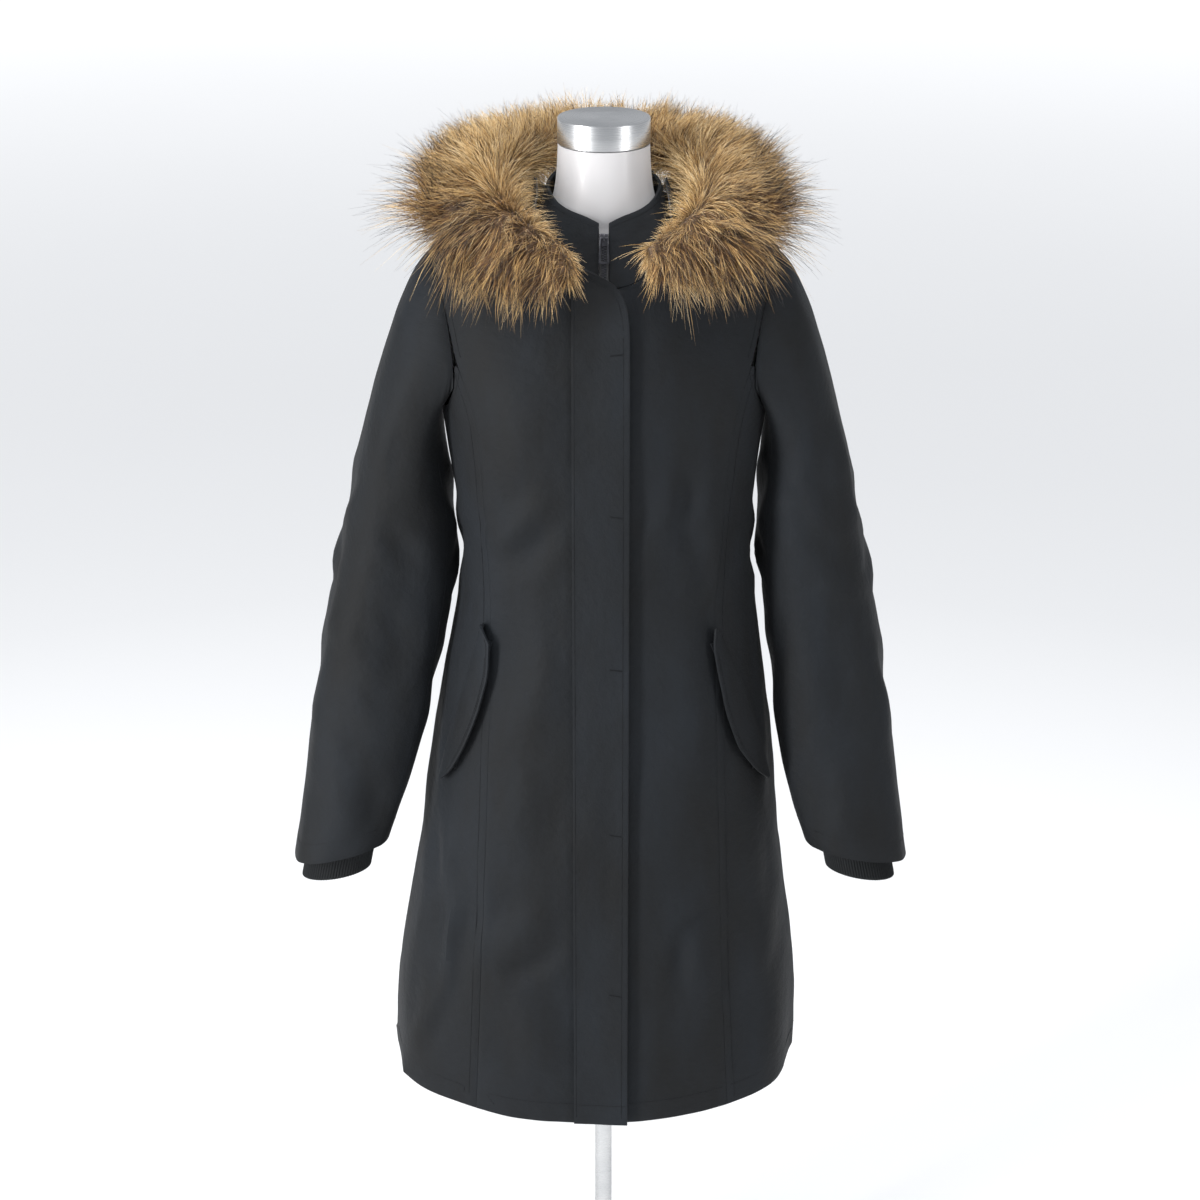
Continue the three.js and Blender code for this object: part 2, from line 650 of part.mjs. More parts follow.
// A storm cuff: a ribbed tube whose top flares out to where it is sewn in the sleeve.
function cuff(side, knit) {
  const hem = ARM_ROWS.at(-1);
  const c = sleeveColumns[sideName(side)];
  const middle = V(side * (c.inner(hem) + c.outer(hem)) * 0.5, c.y(hem), 0);
  const rows = [
    { z: hem + CUFF.above, grow: 1 },
    { z: hem + CUFF.above - 12, grow: 0.45 },
    { z: hem - 2, grow: 0 },
    { z: hem - CUFF.below, grow: 0 },
  ];
  const count = CUFF.ribs * 2;
  const ringAt = (row, out, ribbed) =>
    Array.from({ length: count }, (_, i) => {
      const turn = (i / count) * 360;
      const rise = ribbed && i % 2 === 0 ? CUFF.rib : 0;
      const wide = CUFF.wide + out + rise;
      const deep = CUFF.deep + out + rise;
      const up = row.z - hem;
      const tube = V(
        middle.x - side * up * CUFF.leanOut + side * wide * Math.cos(rad(turn)),
        middle.y + up * CUFF.leanFront - deep * Math.sin(rad(turn)),
        row.z - CUFF.slant * Math.cos(rad(turn)),
      );
      const sewn = sleeveSection(turn, row.z, side, out - WALL - CUFF.rib - CUFF.gap);
      sewn.z = tube.z;
      return tube.lerp(sewn, row.grow);
    });
  const outer = rows.map((row) => ringAt(row, 0, row.grow < 1));
  const inner = rows.map((row) => ringAt(row, -CUFF.wall, false));
  return wallMesh("cuff_" + wearer(side), outer, inner, knit(), true);
}

// The neckline as one run of places from the left front edge round the back to the right one,
// at the levels of the body's rows.
function necklineRun() {
  const branch = (table, edgeAt) =>
    allLevels.filter((z) => z >= table[0].z).map((z) => ({ z, angle: edgeAt(z, 1) }));
  const front = branch(NECK_FRONT, edge.front);
  const back = branch(NECK_BACK, edge.back);
  const tip = { z: allLevels.at(-1), angle: Math.PI / 2 };
  const right = [...back, tip, ...front.reverse()];
  const left = right.slice(1).reverse();
  return [...left.map((p) => ({ ...p, angle: -p.angle })), ...right];
}
const neckPoint = ({ angle, z }, out) => bodyPoint(angle, z, out);

// A point of the collar's outer side, from the neckline (0) to its top edge (1), moved out.
function collarPoint(place, rise, out = 0) {
  const foot = neckPoint(place, 0);
  const angle = Math.atan2(foot.x / 66, -foot.y / 76);
  const toFront = Math.cos(angle) > 0;
  const deep = toFront ? COLLAR_TOP.front : COLLAR_TOP.back;
  const endZ = toFront ? COLLAR_TOP.frontZ : COLLAR_TOP.backZ;
  const notch = toFront ? COLLAR_NOTCH.deep * Math.exp(-((foot.x / COLLAR_NOTCH.half) ** 2)) : 0;
  const top = V(
    COLLAR_TOP.side * Math.sin(angle),
    -deep * Math.cos(angle),
    lerp(COLLAR_TOP.sideZ, endZ, Math.abs(Math.cos(angle)) ** 1.5) - notch,
  );
  if (toFront && Math.abs(foot.x) <= FRONT_EDGE + 0.1) top.x = foot.x;
  const away = V(foot.x, foot.y, 0).normalize();
  const base = foot.addScaledVector(V(0, 0, 1), SEAM).addScaledVector(away, out);
  return base.lerp(top.addScaledVector(away, out), rise);
}

function collar(cloth) {
  const run = necklineRun();
  const rises = [0, 0.33, 0.66, 1];
  const outer = rises.map((rise) => run.map((place) => collarPoint(place, rise)));
  const inner = rises.map((rise) => run.map((place) => collarPoint(place, rise, -COLLAR_WALL)));
  return wallMesh("collar", outer, inner, cloth());
}

// A point near the centre front, on the body up to the neckline and then on the collar.
const neckFrontZ = column(NECK_FRONT, "z", "x");
function centreFront(x, z, out) {
  const foot = neckFrontZ(Math.abs(x));
  if (z <= foot) return bodyPoint(angleAtX(x, z), z, out);
  const rise = (z - foot) / (COLLAR_TOP.frontZ - foot);
  return collarPoint({ angle: angleAtX(x, foot), z: foot }, rise, out);
}

function zipTape(tape) {
  const levels = [...SKIRT_LEVELS, 1230, 1275, 1310, 1336, 1344, 1360, 1380, 1398];
  const xs = [-ZIP.half, 0, ZIP.half];
  const outer = levels.map((z) => xs.map((x) => centreFront(x, z, -ZIP.sunk)));
  const inner = levels.map((z) => xs.map((x) => centreFront(x, z, -ZIP.sunk - ZIP.wall)));
  return wallMesh("zip_tape", outer, inner, tape());
}

function placket(cloth) {
  const levels = [
    HEM + 1,
    ...SKIRT_LEVELS.slice(1),
    1230,
    PRINCESS_TOP,
    1288,
    ...PLACKET_TOP.map((p) => p.z),
  ];
  const edgeAt = column(PLACKET_TOP, "edge");
  const rowAt = (z, extra) =>
    Array.from({ length: PLACKET.columns + 1 }, (_, i) => {
      const t = i / PLACKET.columns;
      const x = lerp(PLACKET.seam, edgeAt(z), t);
      const overCollar = Math.max(0, z - 1330) * 0.05;
      const lift = PLACKET.low + PLACKET.lift * t ** 2 + overCollar;
      return centreFront(x, z, lift + extra);
    });
  const outer = levels.map((z) => rowAt(z, PLACKET.wall));
  const inner = levels.map((z) => rowAt(z, 0));
  return wallMesh("placket", outer, inner, cloth());
}

// A pocket flap: sewn along its outer edge, its free edge bulges off the front.
function flap(side, cloth) {
  const rows = FLAP[sideName(side)];
  const columns = 3;
  const rowAt = (row, out) =>
    Array.from({ length: columns + 1 }, (_, i) => {
      const t = i / columns;
      const x = side * lerp(row.sewn, row.free, t);
      const lift = WELT.wall + 2 * SEAM + FLAP_LIFT * Math.sin((t * Math.PI) / 2);
      return bodyPoint(angleAtX(x, row.z), row.z, lift + out);
    });
  const outer = rows.map((row) => rowAt(row, FLAP_WALL));
  const inner = rows.map((row) => rowAt(row, 0));
  return wallMesh("flap_" + wearer(side), outer, inner, cloth());
}

// The welt lies on the front under its flap, along the sewn edge.
function welt(side, cloth) {
  const rows = FLAP[sideName(side)].slice(1, -1);
  const rowAt = (row, out) =>
    [0, 0.5, 1].map((t) => {
      const reach = Math.min(WELT.wide, row.sewn - row.free - 2);
      const x = side * (row.sewn - 1 - reach * t);
      return bodyPoint(angleAtX(x, row.z), row.z, SEAM + out);
    });
  const outer = rows.map((row) => rowAt(row, WELT.wall));
  const inner = rows.map((row) => rowAt(row, 0));
  return wallMesh("welt_" + wearer(side), outer, inner, cloth());
}

// The trim's centre line and the frame across it, by the way along from 0 to 1.
const furLine = new THREE.CatmullRomCurve3(
  FUR.map((p) => V(p.x, p.y, p.z)),
  false,
  "centripetal",
);
const furRows = FUR.map((p, i) => ({ ...p, way: i / (FUR.length - 1) }));
const furColumn = Object.fromEntries(
  ["wide", "tall", "lean", "rim"].map((name) => [name, column(furRows, name, "way")]),
);
function furFrame(way) {
  const middle = furLine.getPoint(way);
  const along = furLine.getTangent(way);
  const away = V(middle.x, middle.y, 0).normalize();
  const lean = rad(furColumn.lean(way));
  const up = V(0, 0, Math.cos(lean)).addScaledVector(away, Math.sin(lean));
  up.addScaledVector(along, -up.dot(along)).normalize();
  const out = along.clone().cross(up).normalize();
  if (out.dot(away) < 0) out.negate();
  return { middle, out, up };
}
function furPoint(way, turn, grow = 0, shrink = 1) {
  const { middle, out, up } = furFrame(way);
  const uneven = 1 + FUR_UNEVEN.share * Math.sin(way * FUR_UNEVEN.turns);
  const wide = furColumn.wide(way) * shrink * uneven + grow;
  const tall = furColumn.tall(way) * shrink * uneven + grow;
  return middle
    .addScaledVector(out, wide * signedPower(Math.cos(rad(turn)), FUR_ROUND))
    .addScaledVector(up, tall * signedPower(Math.sin(rad(turn)), FUR_ROUND));
}

function furTrim(fur) {
  const steps = 34;
  const around = 14;
  const rings = [];
  for (let k = 0; k <= steps; k++) {
    const way = k / steps;
    const toEnd = Math.min(k, steps - k);
    const shrink = FUR_ENDS[toEnd] ?? 1;
    const ring = Array.from({ length: around }, (_, i) =>
      furPoint(way, (i / around) * 360, 0, shrink),
    );
    for (const p of ring) while (insideCoat(p, FUR_OFF)) p.z += 0.5;
    rings.push(ring);
  }
  return solidOfRings("fur_trim", rings, fur());
}

// Whether a point lies inside the coat's outer surface grown by a margin.
function insideCoat(p, margin) {
  if (p.z > BODY.at(-1).z) return false;
  const wide = (p.x > 0 ? bodyColumn.right(p.z) : bodyColumn.left(p.z)) + margin;
  const deep = (p.y < 0 ? bodyColumn.front(p.z) : bodyColumn.back(p.z)) + margin;
  const power = bodyColumn.round(p.z);
  return (Math.abs(p.x) / wide) ** power + (Math.abs(p.y) / deep) ** power < 1;
}

// Whether a point beside or above the neckline lies nearer to the collar than a margin.
function atCollar(p, margin) {
  const wide = BODY.at(-1).right + margin;
  const deep = (p.y < 0 ? BODY.at(-1).front : BODY.at(-1).back) + margin;
  return p.z > COLLAR_LOW && (p.x / wide) ** 2 + (p.y / deep) ** 2 < 1;
}

// A middle surface of the hood, across from its neck seam (0) to the trim (1).
const run = necklineRun();
function collarFoot(way) {
  const place = way * (run.length - 1);
  const i = Math.min(Math.floor(place), run.length - 2);
  return collarPoint(run[i], 0).lerp(collarPoint(run[i + 1], 0), place - i);
}

// How far along a line the turn round the neck, from the front over the left, reaches a value.
function wayAtTurn(pointAt, turn) {
  let [low, high] = [0, 1];
  for (let k = 0; k < 30; k++) {
    const mid = (low + high) / 2;
    const p = pointAt(mid);
    const reached = (THREE.MathUtils.radToDeg(Math.atan2(-p.x, -p.y)) + 360) % 360;
    if (reached < turn) low = mid;
    else high = mid;
  }
  return low;
}

function hoodMiddle(turn, across) {
  const foot = collarFoot(wayAtTurn(collarFoot, turn));
  const way = wayAtTurn((value) => furLine.getPoint(value), turn);
  const away = V(foot.x, foot.y, 0).normalize();
  foot.addScaledVector(away, HOOD.foot).setZ(foot.z + HOOD.raise);
  const back = clamp((foot.y - HOOD.backFrom) / HOOD.backOver, 0, 1);
  const rim = furPoint(way, furColumn.rim(way), HOOD.grow);
  const drop = HOOD.down * back ** HOOD.deepens;
  const first = foot.clone().addScaledVector(away, HOOD.start + HOOD.near * back);
  first.z += HOOD.start - drop;
  const second = rim.clone().addScaledVector(away, -HOOD.start + HOOD.out * back ** 0.5);
  second.z -= drop * HOOD.low;
  const point = new THREE.CubicBezierCurve3(foot, first, second, rim).getPoint(across);
  const aside = away.multiplyScalar(back * HOOD.push).add(V(0, 0, HOOD.push * (1 - back)));
  const off = lerp(HOOD.footOff, HOOD.off, Math.min(1, across / HOOD.clearFrom));
  while (insideCoat(point, off)) point.add(aside);
  return point;
}

// The hood's middle surface as rows of points with their normals, which face into the bag. Its
// columns lie at these turns, on one side and then mirrored.
const HOOD_SIDE = [44, 54, 66, 79, 94, 106, 117, 127, 137, 148, 159, 170];
const HOOD_TURNS = [...HOOD_SIDE, 180, ...HOOD_SIDE.map((turn) => 360 - turn).reverse()];
const HOOD_ROWS = 8;
function hoodGrid() {
  const rows = HOOD_ROWS;
  const cols = HOOD_TURNS.length - 1;
  let grid = Array.from({ length: rows + 1 }, (_, j) =>
    HOOD_TURNS.map((turn) => hoodMiddle(turn, j / rows)),
  );
  const at = (j, i) => grid[clamp(j, 0, rows)][clamp(i, 0, cols)];
  for (let pass = 0; pass < HOOD.passes; pass++)
    grid = grid.map((row, j) =>
      row.map((p, i) => {
        if (j === 0 || j === rows) return p;
        const [before, after] = i === 0 || i === cols ? [p, p] : [at(j, i - 1), at(j, i + 1)];
        const near = at(j - 1, i).clone().add(at(j + 1, i)).add(before).add(after);
        near.addScaledVector(p, 2).divideScalar(6);
        while (insideCoat(near, HOOD.rest))
          near.add(V(near.x, near.y, HOOD.upward).multiplyScalar(HOOD.nudge));
        while (atCollar(near, HOOD.rest))
          near.add(V(near.x, near.y, 0).multiplyScalar(2 * HOOD.nudge));
        return near;
      }),
    );
  const normals = grid.map((row, j) =>
    row.map((_, i) => {
      const rise = at(j + 1, i).clone().sub(at(j - 1, i));
      const round = at(j, i + 1).clone().sub(at(j, i - 1));
      return round.cross(rise).normalize();
    }),
  );
  const normalAt = (j, i) => normals[clamp(j, 0, rows)][clamp(i, 0, cols)];
  return grid.map((row, j) =>
    row.map((point, i) => {
      const normal = normals[j][i].clone().multiplyScalar(2);
      for (const [dj, di] of [[-1, 0], [1, 0], [0, -1], [0, 1]])
        normal.add(normalAt(j + dj, i + di));
      return { point, normal: normal.normalize() };
    }),
  );
}

function hood(cloth, lining) {
  const grid = hoodGrid();
  const middle = HOOD_SIDE.length;
  const wall = (name, first, last, low, thick, material, trim = 0) => {
    const layer = (into) =>
      grid.map((row) =>
        row.slice(first, last + 1).map(({ point, normal }, i) => {
          const p = point.clone().addScaledVector(normal, into);
          if (first + i === middle && trim) p.x = trim;
          return p;
        }),
      );
    return wallMesh(name, layer(low), layer(low + thick), material);
  };
  const { shell } = HOOD;
  const end = HOOD_TURNS.length - 1;
  return [
    wall("hood_right", 0, middle, -shell / 2, shell, cloth(), -SEAM / 2),
    wall("hood_left", middle, end, -shell / 2, shell, cloth(), SEAM / 2),
    wall("hood_lining", 0, end, shell / 2 + HOOD.apart, HOOD.lining, lining()),
  ];
}

// Dress form: the coat's own surface moved in, then a round neck.
function formTorso(skin) {
  const around = 28;
  const gap = column(FORM_CLEAR, "gap");
  const turns = Array.from({ length: around }, (_, i) => (i / around) * 2 * Math.PI);
  const nape = (level, angle) => NAPE * clamp((level - 1310) / 50, 0, 1) * Math.cos(angle) ** 2;
  const inset = (level, angle) => gap(level) + WALL + nape(level, angle);
  const rings = TORSO_LEVELS.map((level) =>
    turns.map((angle) => {
      const normal = bodyNormal(angle, level);
      return plainBody(angle, level).addScaledVector(normal, -inset(level, angle));
    }),
  );
  const under = rings[0].map((p) => V(p.x * 0.9, p.y * 0.9, FORM_BOTTOM));
  const neck = NECK.map((row) =>
    turns.map((angle) => {
      const deep = Math.cos(angle) > 0 ? row.front : row.back;
      return V(row.side * Math.sin(angle), -deep * Math.cos(angle), row.z);
    }),
  );
  return solidOfRings("form_torso", [under, ...rings, ...neck], skin());
}

function stand(skin, steel) {
  const cap = latheSolid(
    "neck_cap",
    [
      [0, CAP.low],
      [CAP.radius, CAP.low],
      [CAP.radius, CAP.top - CAP.bevel],
      [CAP.radius - CAP.bevel, CAP.top],
      [0, CAP.top],
    ],
    steel(),
    48,
  );
  const boss = BASE.bossHigh;
  const pole = latheSolid(
    "pole",
    [
      [0, boss + SEAM],
      [POLE.radius, boss + SEAM],
      [POLE.radius, FORM_BOTTOM - POLE.socketHigh],
      [POLE.socket, FORM_BOTTOM - POLE.socketHigh],
      [POLE.socket, FORM_BOTTOM - SEAM],
      [0, FORM_BOTTOM - SEAM],
    ],
    steel(),
    24,
  );
  const base = latheSolid(
    "base",
    [
      [0, 0],
      [BASE.radius, 0],
      [BASE.radius, BASE.high - BASE.bevel],
      [BASE.radius - BASE.bevel, BASE.high],
      [BASE.boss, BASE.high],
      [BASE.boss, boss],
      [0, boss],
    ],
    steel(),
    48,
  );
  return [formTorso(skin), cap, pole, base];
}

// The slider sits on the chain below the collar's top; its bridge carries the pull.
const SLIDER_Z = 1393;
// Middle of the bar of the pull, in front of the slider's back, under the bridge.
const BAR = {
  y: -SLIDER.deep - (SLIDER.arch - SLIDER.leg) / 2,
  z: 1.5,
};
function sliderShape() {
  const shape = new THREE.Shape();
  const w = SLIDER.wide / 2;
  const h = SLIDER.high / 2;
  const corner = SLIDER.corner;
  shape.moveTo(-w * SLIDER.nose, -h);
  shape.lineTo(w * SLIDER.nose, -h);
  shape.lineTo(w, 0);
  shape.lineTo(w, h - corner);
  shape.lineTo(w - corner, h);
  shape.lineTo(-w + corner, h);
  shape.lineTo(-w, h - corner);
  shape.lineTo(-w, 0);
  shape.closePath();
  return shape;
}

const wasm = await Module();
wasm.setup();

// A geometry as a solid that can be joined and cut.
function toSolid(geometry) {
  const bare = geometry.clone();
  bare.deleteAttribute("normal");
  bare.deleteAttribute("uv");
  const merged = mergeVertices(bare, 1e-4);
  const mesh = new wasm.Mesh({
    numProp: 3,
    vertProperties: new Float32Array(merged.attributes.position.array),
    triVerts: new Uint32Array(merged.index.array),
  });
  return new wasm.Manifold(mesh);
}

function fromSolid(name, solid, material) {
  const made = solid.getMesh();
  const geometry = new THREE.BufferGeometry();
  geometry.setAttribute("position", new THREE.BufferAttribute(made.vertProperties, 3));
  geometry.setIndex(new THREE.BufferAttribute(made.triVerts, 1));
  geometry.computeVertexNormals();
  const mesh = new THREE.Mesh(geometry, material);
  mesh.name = name;
  return mesh;
}

const box = (wide, deep, high, x, y, z) =>
  toSolid(new THREE.BoxGeometry(wide, deep, high).translate(x, y, z));

// The slider in its own frame: back on the chain, front towards -Y, bridge in the middle.
function slider(metal) {
  const plate = new THREE.ExtrudeGeometry(sliderShape(), {
    depth: SLIDER.deep - 2 * SLIDER.edge,
    bevelThickness: SLIDER.edge,
    bevelSize: SLIDER.edge,
    bevelOffset: -SLIDER.edge,
    bevelSegments: 1,
  });
  plate.translate(0, 0, SLIDER.edge).rotateX(Math.PI / 2);
  const { bridge, arch, leg } = SLIDER;
  const span = 2 * (PULL.rod / 2 + SLIDER.room) + 2 * leg;
  const front = -SLIDER.deep - arch;
  const outer = box(bridge, arch + 1, span, 0, front + (arch + 1) / 2, BAR.z);
  const hole = box(bridge + 1, arch - leg, span - 2 * leg, 0, BAR.y, BAR.z);
  return fromSolid("zip_slider", toSolid(plate).add(outer.subtract(hole)), metal());
}

// The pull: a rectangular frame with round corners, whose top bar passes under the bridge.
function pull(metal) {
  const { wide, long, thick, frame, rod } = PULL;
  const low = BAR.z + rod / 2 - long;
  const top = BAR.z + rod / 2;
  const rim = new THREE.Shape();
  const r = PULL.corner;
  const { drop, step, inset } = PULL_TOP;
  rim.moveTo(-wide / 2 + r, low);
  rim.lineTo(wide / 2 - r, low);
  rim.absarc(wide / 2 - r, low + r, r, -Math.PI / 2, 0, false);
  rim.lineTo(wide / 2 - inset, top - drop);
  rim.lineTo(wide / 2 - inset - step, top);
  rim.lineTo(-wide / 2 + inset + step, top);
  rim.lineTo(-wide / 2 + inset, top - drop);
  rim.lineTo(-wide / 2, low + r);
  rim.absarc(-wide / 2 + r, low + r, r, Math.PI, 1.5 * Math.PI, false);
  const window = new THREE.Path();
  const side = wide / 2 - frame;
  window.moveTo(-side, low + frame);
  window.lineTo(-side + PULL_TOP.window, top - rod);
  window.lineTo(side - PULL_TOP.window, top - rod);
  window.lineTo(side, low + frame);
  window.closePath();
  rim.holes.push(window);
  const plate = new THREE.ExtrudeGeometry(rim, {
    depth: thick,
    bevelEnabled: false,
    curveSegments: 4,
  });
  plate.rotateX(Math.PI / 2).translate(0, BAR.y + thick / 2, 0);
  return fromSolid("zip_pull", toSolid(plate), metal());
}

function zipHead(metal) {
  const group = new THREE.Group();
  const seat = centreFront(0, SLIDER_Z, 0.5);
  const above = centreFront(0, SLIDER_Z + 8, 0);
  const below = centreFront(0, SLIDER_Z - 8, 0);
  group.position.copy(seat);
  group.rotation.x = -Math.atan2(above.y - below.y, above.z - below.z);
  group.add(slider(metal), pull(metal));
  return group;
}

const finish = (color, roughness, metalness) => () =>
  new THREE.MeshStandardMaterial({ color, roughness, metalness });
const cloth = finish("#2b3036", 0.72, 0);
const knit = finish("#23272b", 0.9, 0);
const lining = finish("#15171a", 0.45, 0);
const fur = finish("#a8834c", 0.95, 0);
const tape = finish("#1b1d20", 0.85, 0);
const gunmetal = finish("#4a4a4c", 0.3, 1);
const skin = finish("#e6e4e2", 0.35, 0);
const steel = finish("#b9b6b0", 0.28, 1);

const root = new THREE.Group();
root.add(...stand(skin, steel));
for (const side of [-1, 1]) {
  root.add(...bodyPanels(side, cloth));
  root.add(...sleeve(side, cloth));
  root.add(cuff(side, knit));
  root.add(flap(side, cloth), welt(side, cloth));
}
root.add(collar(cloth), zipTape(tape), placket(cloth));
root.add(...hood(cloth, lining), furTrim(fur));
root.add(zipHead(gunmetal));

export default root;
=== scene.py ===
import math

import bmesh
import bpy
import numpy as np
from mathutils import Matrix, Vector, noise
from mathutils.bvhtree import BVHTree


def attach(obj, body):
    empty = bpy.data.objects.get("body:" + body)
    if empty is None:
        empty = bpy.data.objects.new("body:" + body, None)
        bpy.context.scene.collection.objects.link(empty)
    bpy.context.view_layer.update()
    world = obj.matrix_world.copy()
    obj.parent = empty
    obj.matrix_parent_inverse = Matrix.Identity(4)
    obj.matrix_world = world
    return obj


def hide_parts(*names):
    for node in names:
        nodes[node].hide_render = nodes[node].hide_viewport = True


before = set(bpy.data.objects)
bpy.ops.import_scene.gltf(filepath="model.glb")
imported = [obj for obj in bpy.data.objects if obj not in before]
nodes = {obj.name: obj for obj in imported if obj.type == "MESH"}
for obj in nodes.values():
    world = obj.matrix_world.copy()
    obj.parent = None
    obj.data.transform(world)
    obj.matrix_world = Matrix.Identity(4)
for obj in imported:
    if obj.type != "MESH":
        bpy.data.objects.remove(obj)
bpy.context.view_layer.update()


# The stand and the neck cap: a round foot with a boss, a tube with a socket under the form, and a flat
# cap on the neck. All three are turned from steel and brushed round, so their light falls in bands.
COAT = "coat_and_form"
# Radius and height of each turned piece, from the axis round its outline and back to the axis.
CAP_MM = [(0, 1473), (47, 1473), (48, 1474), (48, 1498.5), (47.5, 1499.6), (46.5, 1500), (0, 1500)]
POLE_MM = [(0, 32.3), (9.75, 32.3), (9.75, 785), (10.2, 786), (23, 786), (24, 787), (24, 798.7)]
POLE_MM += [(23, 799.7), (0, 799.7)]
BASE_MM = [(0, 0), (164, 0), (165, 1), (165, 6.4), (164.2, 8.2), (162, 9), (23.5, 9), (22, 10.2)]
BASE_MM += [(22, 30.6), (21.4, 31.6), (20.4, 32), (0, 32)]


def mm(*lengths):
    return tuple(length / 1000 for length in lengths)


def fed(tree, socket, value):
    """Sets an input socket to a value, or links it to another node's socket."""
    if isinstance(value, bpy.types.NodeSocket):
        tree.links.new(value, socket)
    else:
        socket.default_value = value


def wired(tree):
    """A function that adds a node to the tree, with its inputs as values or as sockets."""

    def add(kind, inputs=(), **settings):
        made = tree.nodes.new(kind)
        for name, value in settings.items():
            setattr(made, name, value)
        for place, value in dict(inputs).items():
            fed(tree, made.inputs[place], value)
        return made

    return add


def new_finish(name, constants):
    """A material, the function that adds nodes to it, and its shader with these constants set."""
    made = bpy.data.materials.new(name)
    made.use_nodes = True
    shader = made.node_tree.nodes["Principled BSDF"]
    for socket, value in constants.items():
        shader.inputs[socket].default_value = value
    return made, wired(made.node_tree), shader


def drive(shader, socket, value):
    """Links a node's output to one input of the shader."""
    shader.id_data.links.new(value, shader.inputs[socket])


def blended(add, amount, low, high):
    """A colour between two, by an amount from 0 to 1."""
    ramp = add("ShaderNodeValToRGB", {"Fac": amount})
    ramp.color_ramp.elements[0].color = (*low, 1)
    ramp.color_ramp.elements[1].color = (*high, 1)
    return ramp.outputs["Color"]


def between(add, amount, low, high):
    """A number between two, by an amount from 0 to 1."""
    scaled = add("ShaderNodeMapRange", {"Value": amount, "To Min": low, "To Max": high})
    return scaled.outputs["Result"]


def raised(add, shader, height, strength, distance, below=None):
    """Bumps the shader by a height, over an earlier bump if there is one."""
    bump = add("ShaderNodeBump", {"Height": height, "Strength": strength, "Distance": distance})
    if below is not None:
        shader.id_data.links.new(below, bump.inputs["Normal"])
    drive(shader, "Normal", bump.outputs["Normal"])
    return bump.outputs["Normal"]


def speckled(name, constants, grain, colours, roughness):
    """A finish whose colour and roughness follow one noise: the material, the function that adds
    nodes, the shader, the place on the object and the noise."""
    made, add, shader = new_finish(name, constants)
    place = add("ShaderNodeTexCoord").outputs["Object"]
    spots = add("ShaderNodeTexNoise", {"Vector": place, **grain}).outputs["Fac"]
    drive(shader, "Base Color", blended(add, spots, *colours))
    drive(shader, "Roughness", between(add, spots, *roughness))
    return made, add, shader, place, spots


def brushed_steel():
    """Steel whose fine brush lines run round the axis of the stand."""
    steel, add, shader = new_finish("brushed steel", {"Metallic": 1.0, "Anisotropic": 0.4})
    place = add("ShaderNodeTexCoord").outputs["Object"]
    parts = add("ShaderNodeSeparateXYZ", {"Vector": place}).outputs
    flat = add("ShaderNodeCombineXYZ", {"X": parts["X"], "Y": parts["Y"]}).outputs["Vector"]
    radius = add("ShaderNodeVectorMath", {0: flat}, operation="LENGTH").outputs["Value"]
    turned = add("ShaderNodeCombineXYZ", {"X": radius, "Z": parts["Z"]}).outputs["Vector"]
    lines = add("ShaderNodeTexNoise", {"Vector": turned, "Scale": 900.0, "Detail": 4.0}).outputs["Fac"]
    patches = add("ShaderNodeTexNoise", {"Vector": place, "Scale": 30.0}).outputs["Fac"]
    drive(shader, "Base Color", blended(add, patches, (0.42, 0.43, 0.44), (0.6, 0.6, 0.6)))
    drive(shader, "Roughness", between(add, lines, 0.2, 0.36))
    raised(add, shader, lines, 0.12, 0.0002)
    return steel


def added(name, data):
    """A new object of the scene, at the origin."""
    made = bpy.data.objects.new(name, data)
    bpy.context.scene.collection.objects.link(made)
    return made


def placed(name, shape, material):
    """An object of that mesh with one material."""
    shape.materials.clear()
    shape.materials.append(material)
    return added(name, shape)


def meshed(name, bm):
    """The mesh of a finished bmesh, which is used up."""
    shape = bpy.data.meshes.new(name)
    bm.to_mesh(shape)
    bm.free()
    return shape


def turned_piece(name, profile, material, segments=128):
    """A closed turned piece from radius and height in millimetres; it starts and ends on the axis."""
    bm = bmesh.new()
    rings = []
    for radius, height in profile:
        turns = [0] if radius == 0 else [2 * math.pi * i / segments for i in range(segments)]
        rings.append(
            [bm.verts.new(mm(radius * math.cos(t), radius * math.sin(t), height)) for t in turns]
        )
    for low, high in zip(rings, rings[1:]):
        for i in range(segments):
            corners = [low[i % len(low)], low[(i + 1) % len(low)]]
            corners += [high[(i + 1) % len(high)], high[i % len(high)]]
            bm.faces.new(list(dict.fromkeys(corners)))
    bmesh.ops.recalc_face_normals(bm, faces=bm.faces)
    piece = placed(name, meshed(name, bm), material)
    smooth_by_angle(piece)
    return piece


def plain(piece):
    """Makes what the piece's modifiers give its own plain mesh."""
    seen = piece.evaluated_get(bpy.context.evaluated_depsgraph_get())
    shape = bpy.data.meshes.new_from_object(seen)
    piece.modifiers.clear()
    piece.data = shape
    return piece


def modified(piece, kind, **settings):
    modifier = piece.modifiers.new(kind.title(), kind)
    for name, value in settings.items():
        setattr(modifier, name, value)


def smooth_by_angle(piece, angle=math.radians(35)):
    """Shades a plain mesh smooth, apart from its edges over that angle."""
    bm = bmesh.new()
    bm.from_mesh(piece.data)
    for edge in bm.edges:
        edge.smooth = edge.calc_face_angle(0) < angle
    for face in bm.faces:
        face.smooth = True
    bm.to_mesh(piece.data)
    bm.free()


def fixed(piece, slot, *replaced, body=COAT):
    """Fixes a finished piece to a body, in place of the nodes that it stands for."""
    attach(piece, body)
    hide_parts(*replaced)


steel = brushed_steel()
for name, node, profile in [
    ("cap_turned", "neck_cap", CAP_MM),
    ("pole_turned", "pole", POLE_MM),
    ("base_turned", "base", BASE_MM),
]:
    fixed(turned_piece(name, profile, steel), "steel", node)


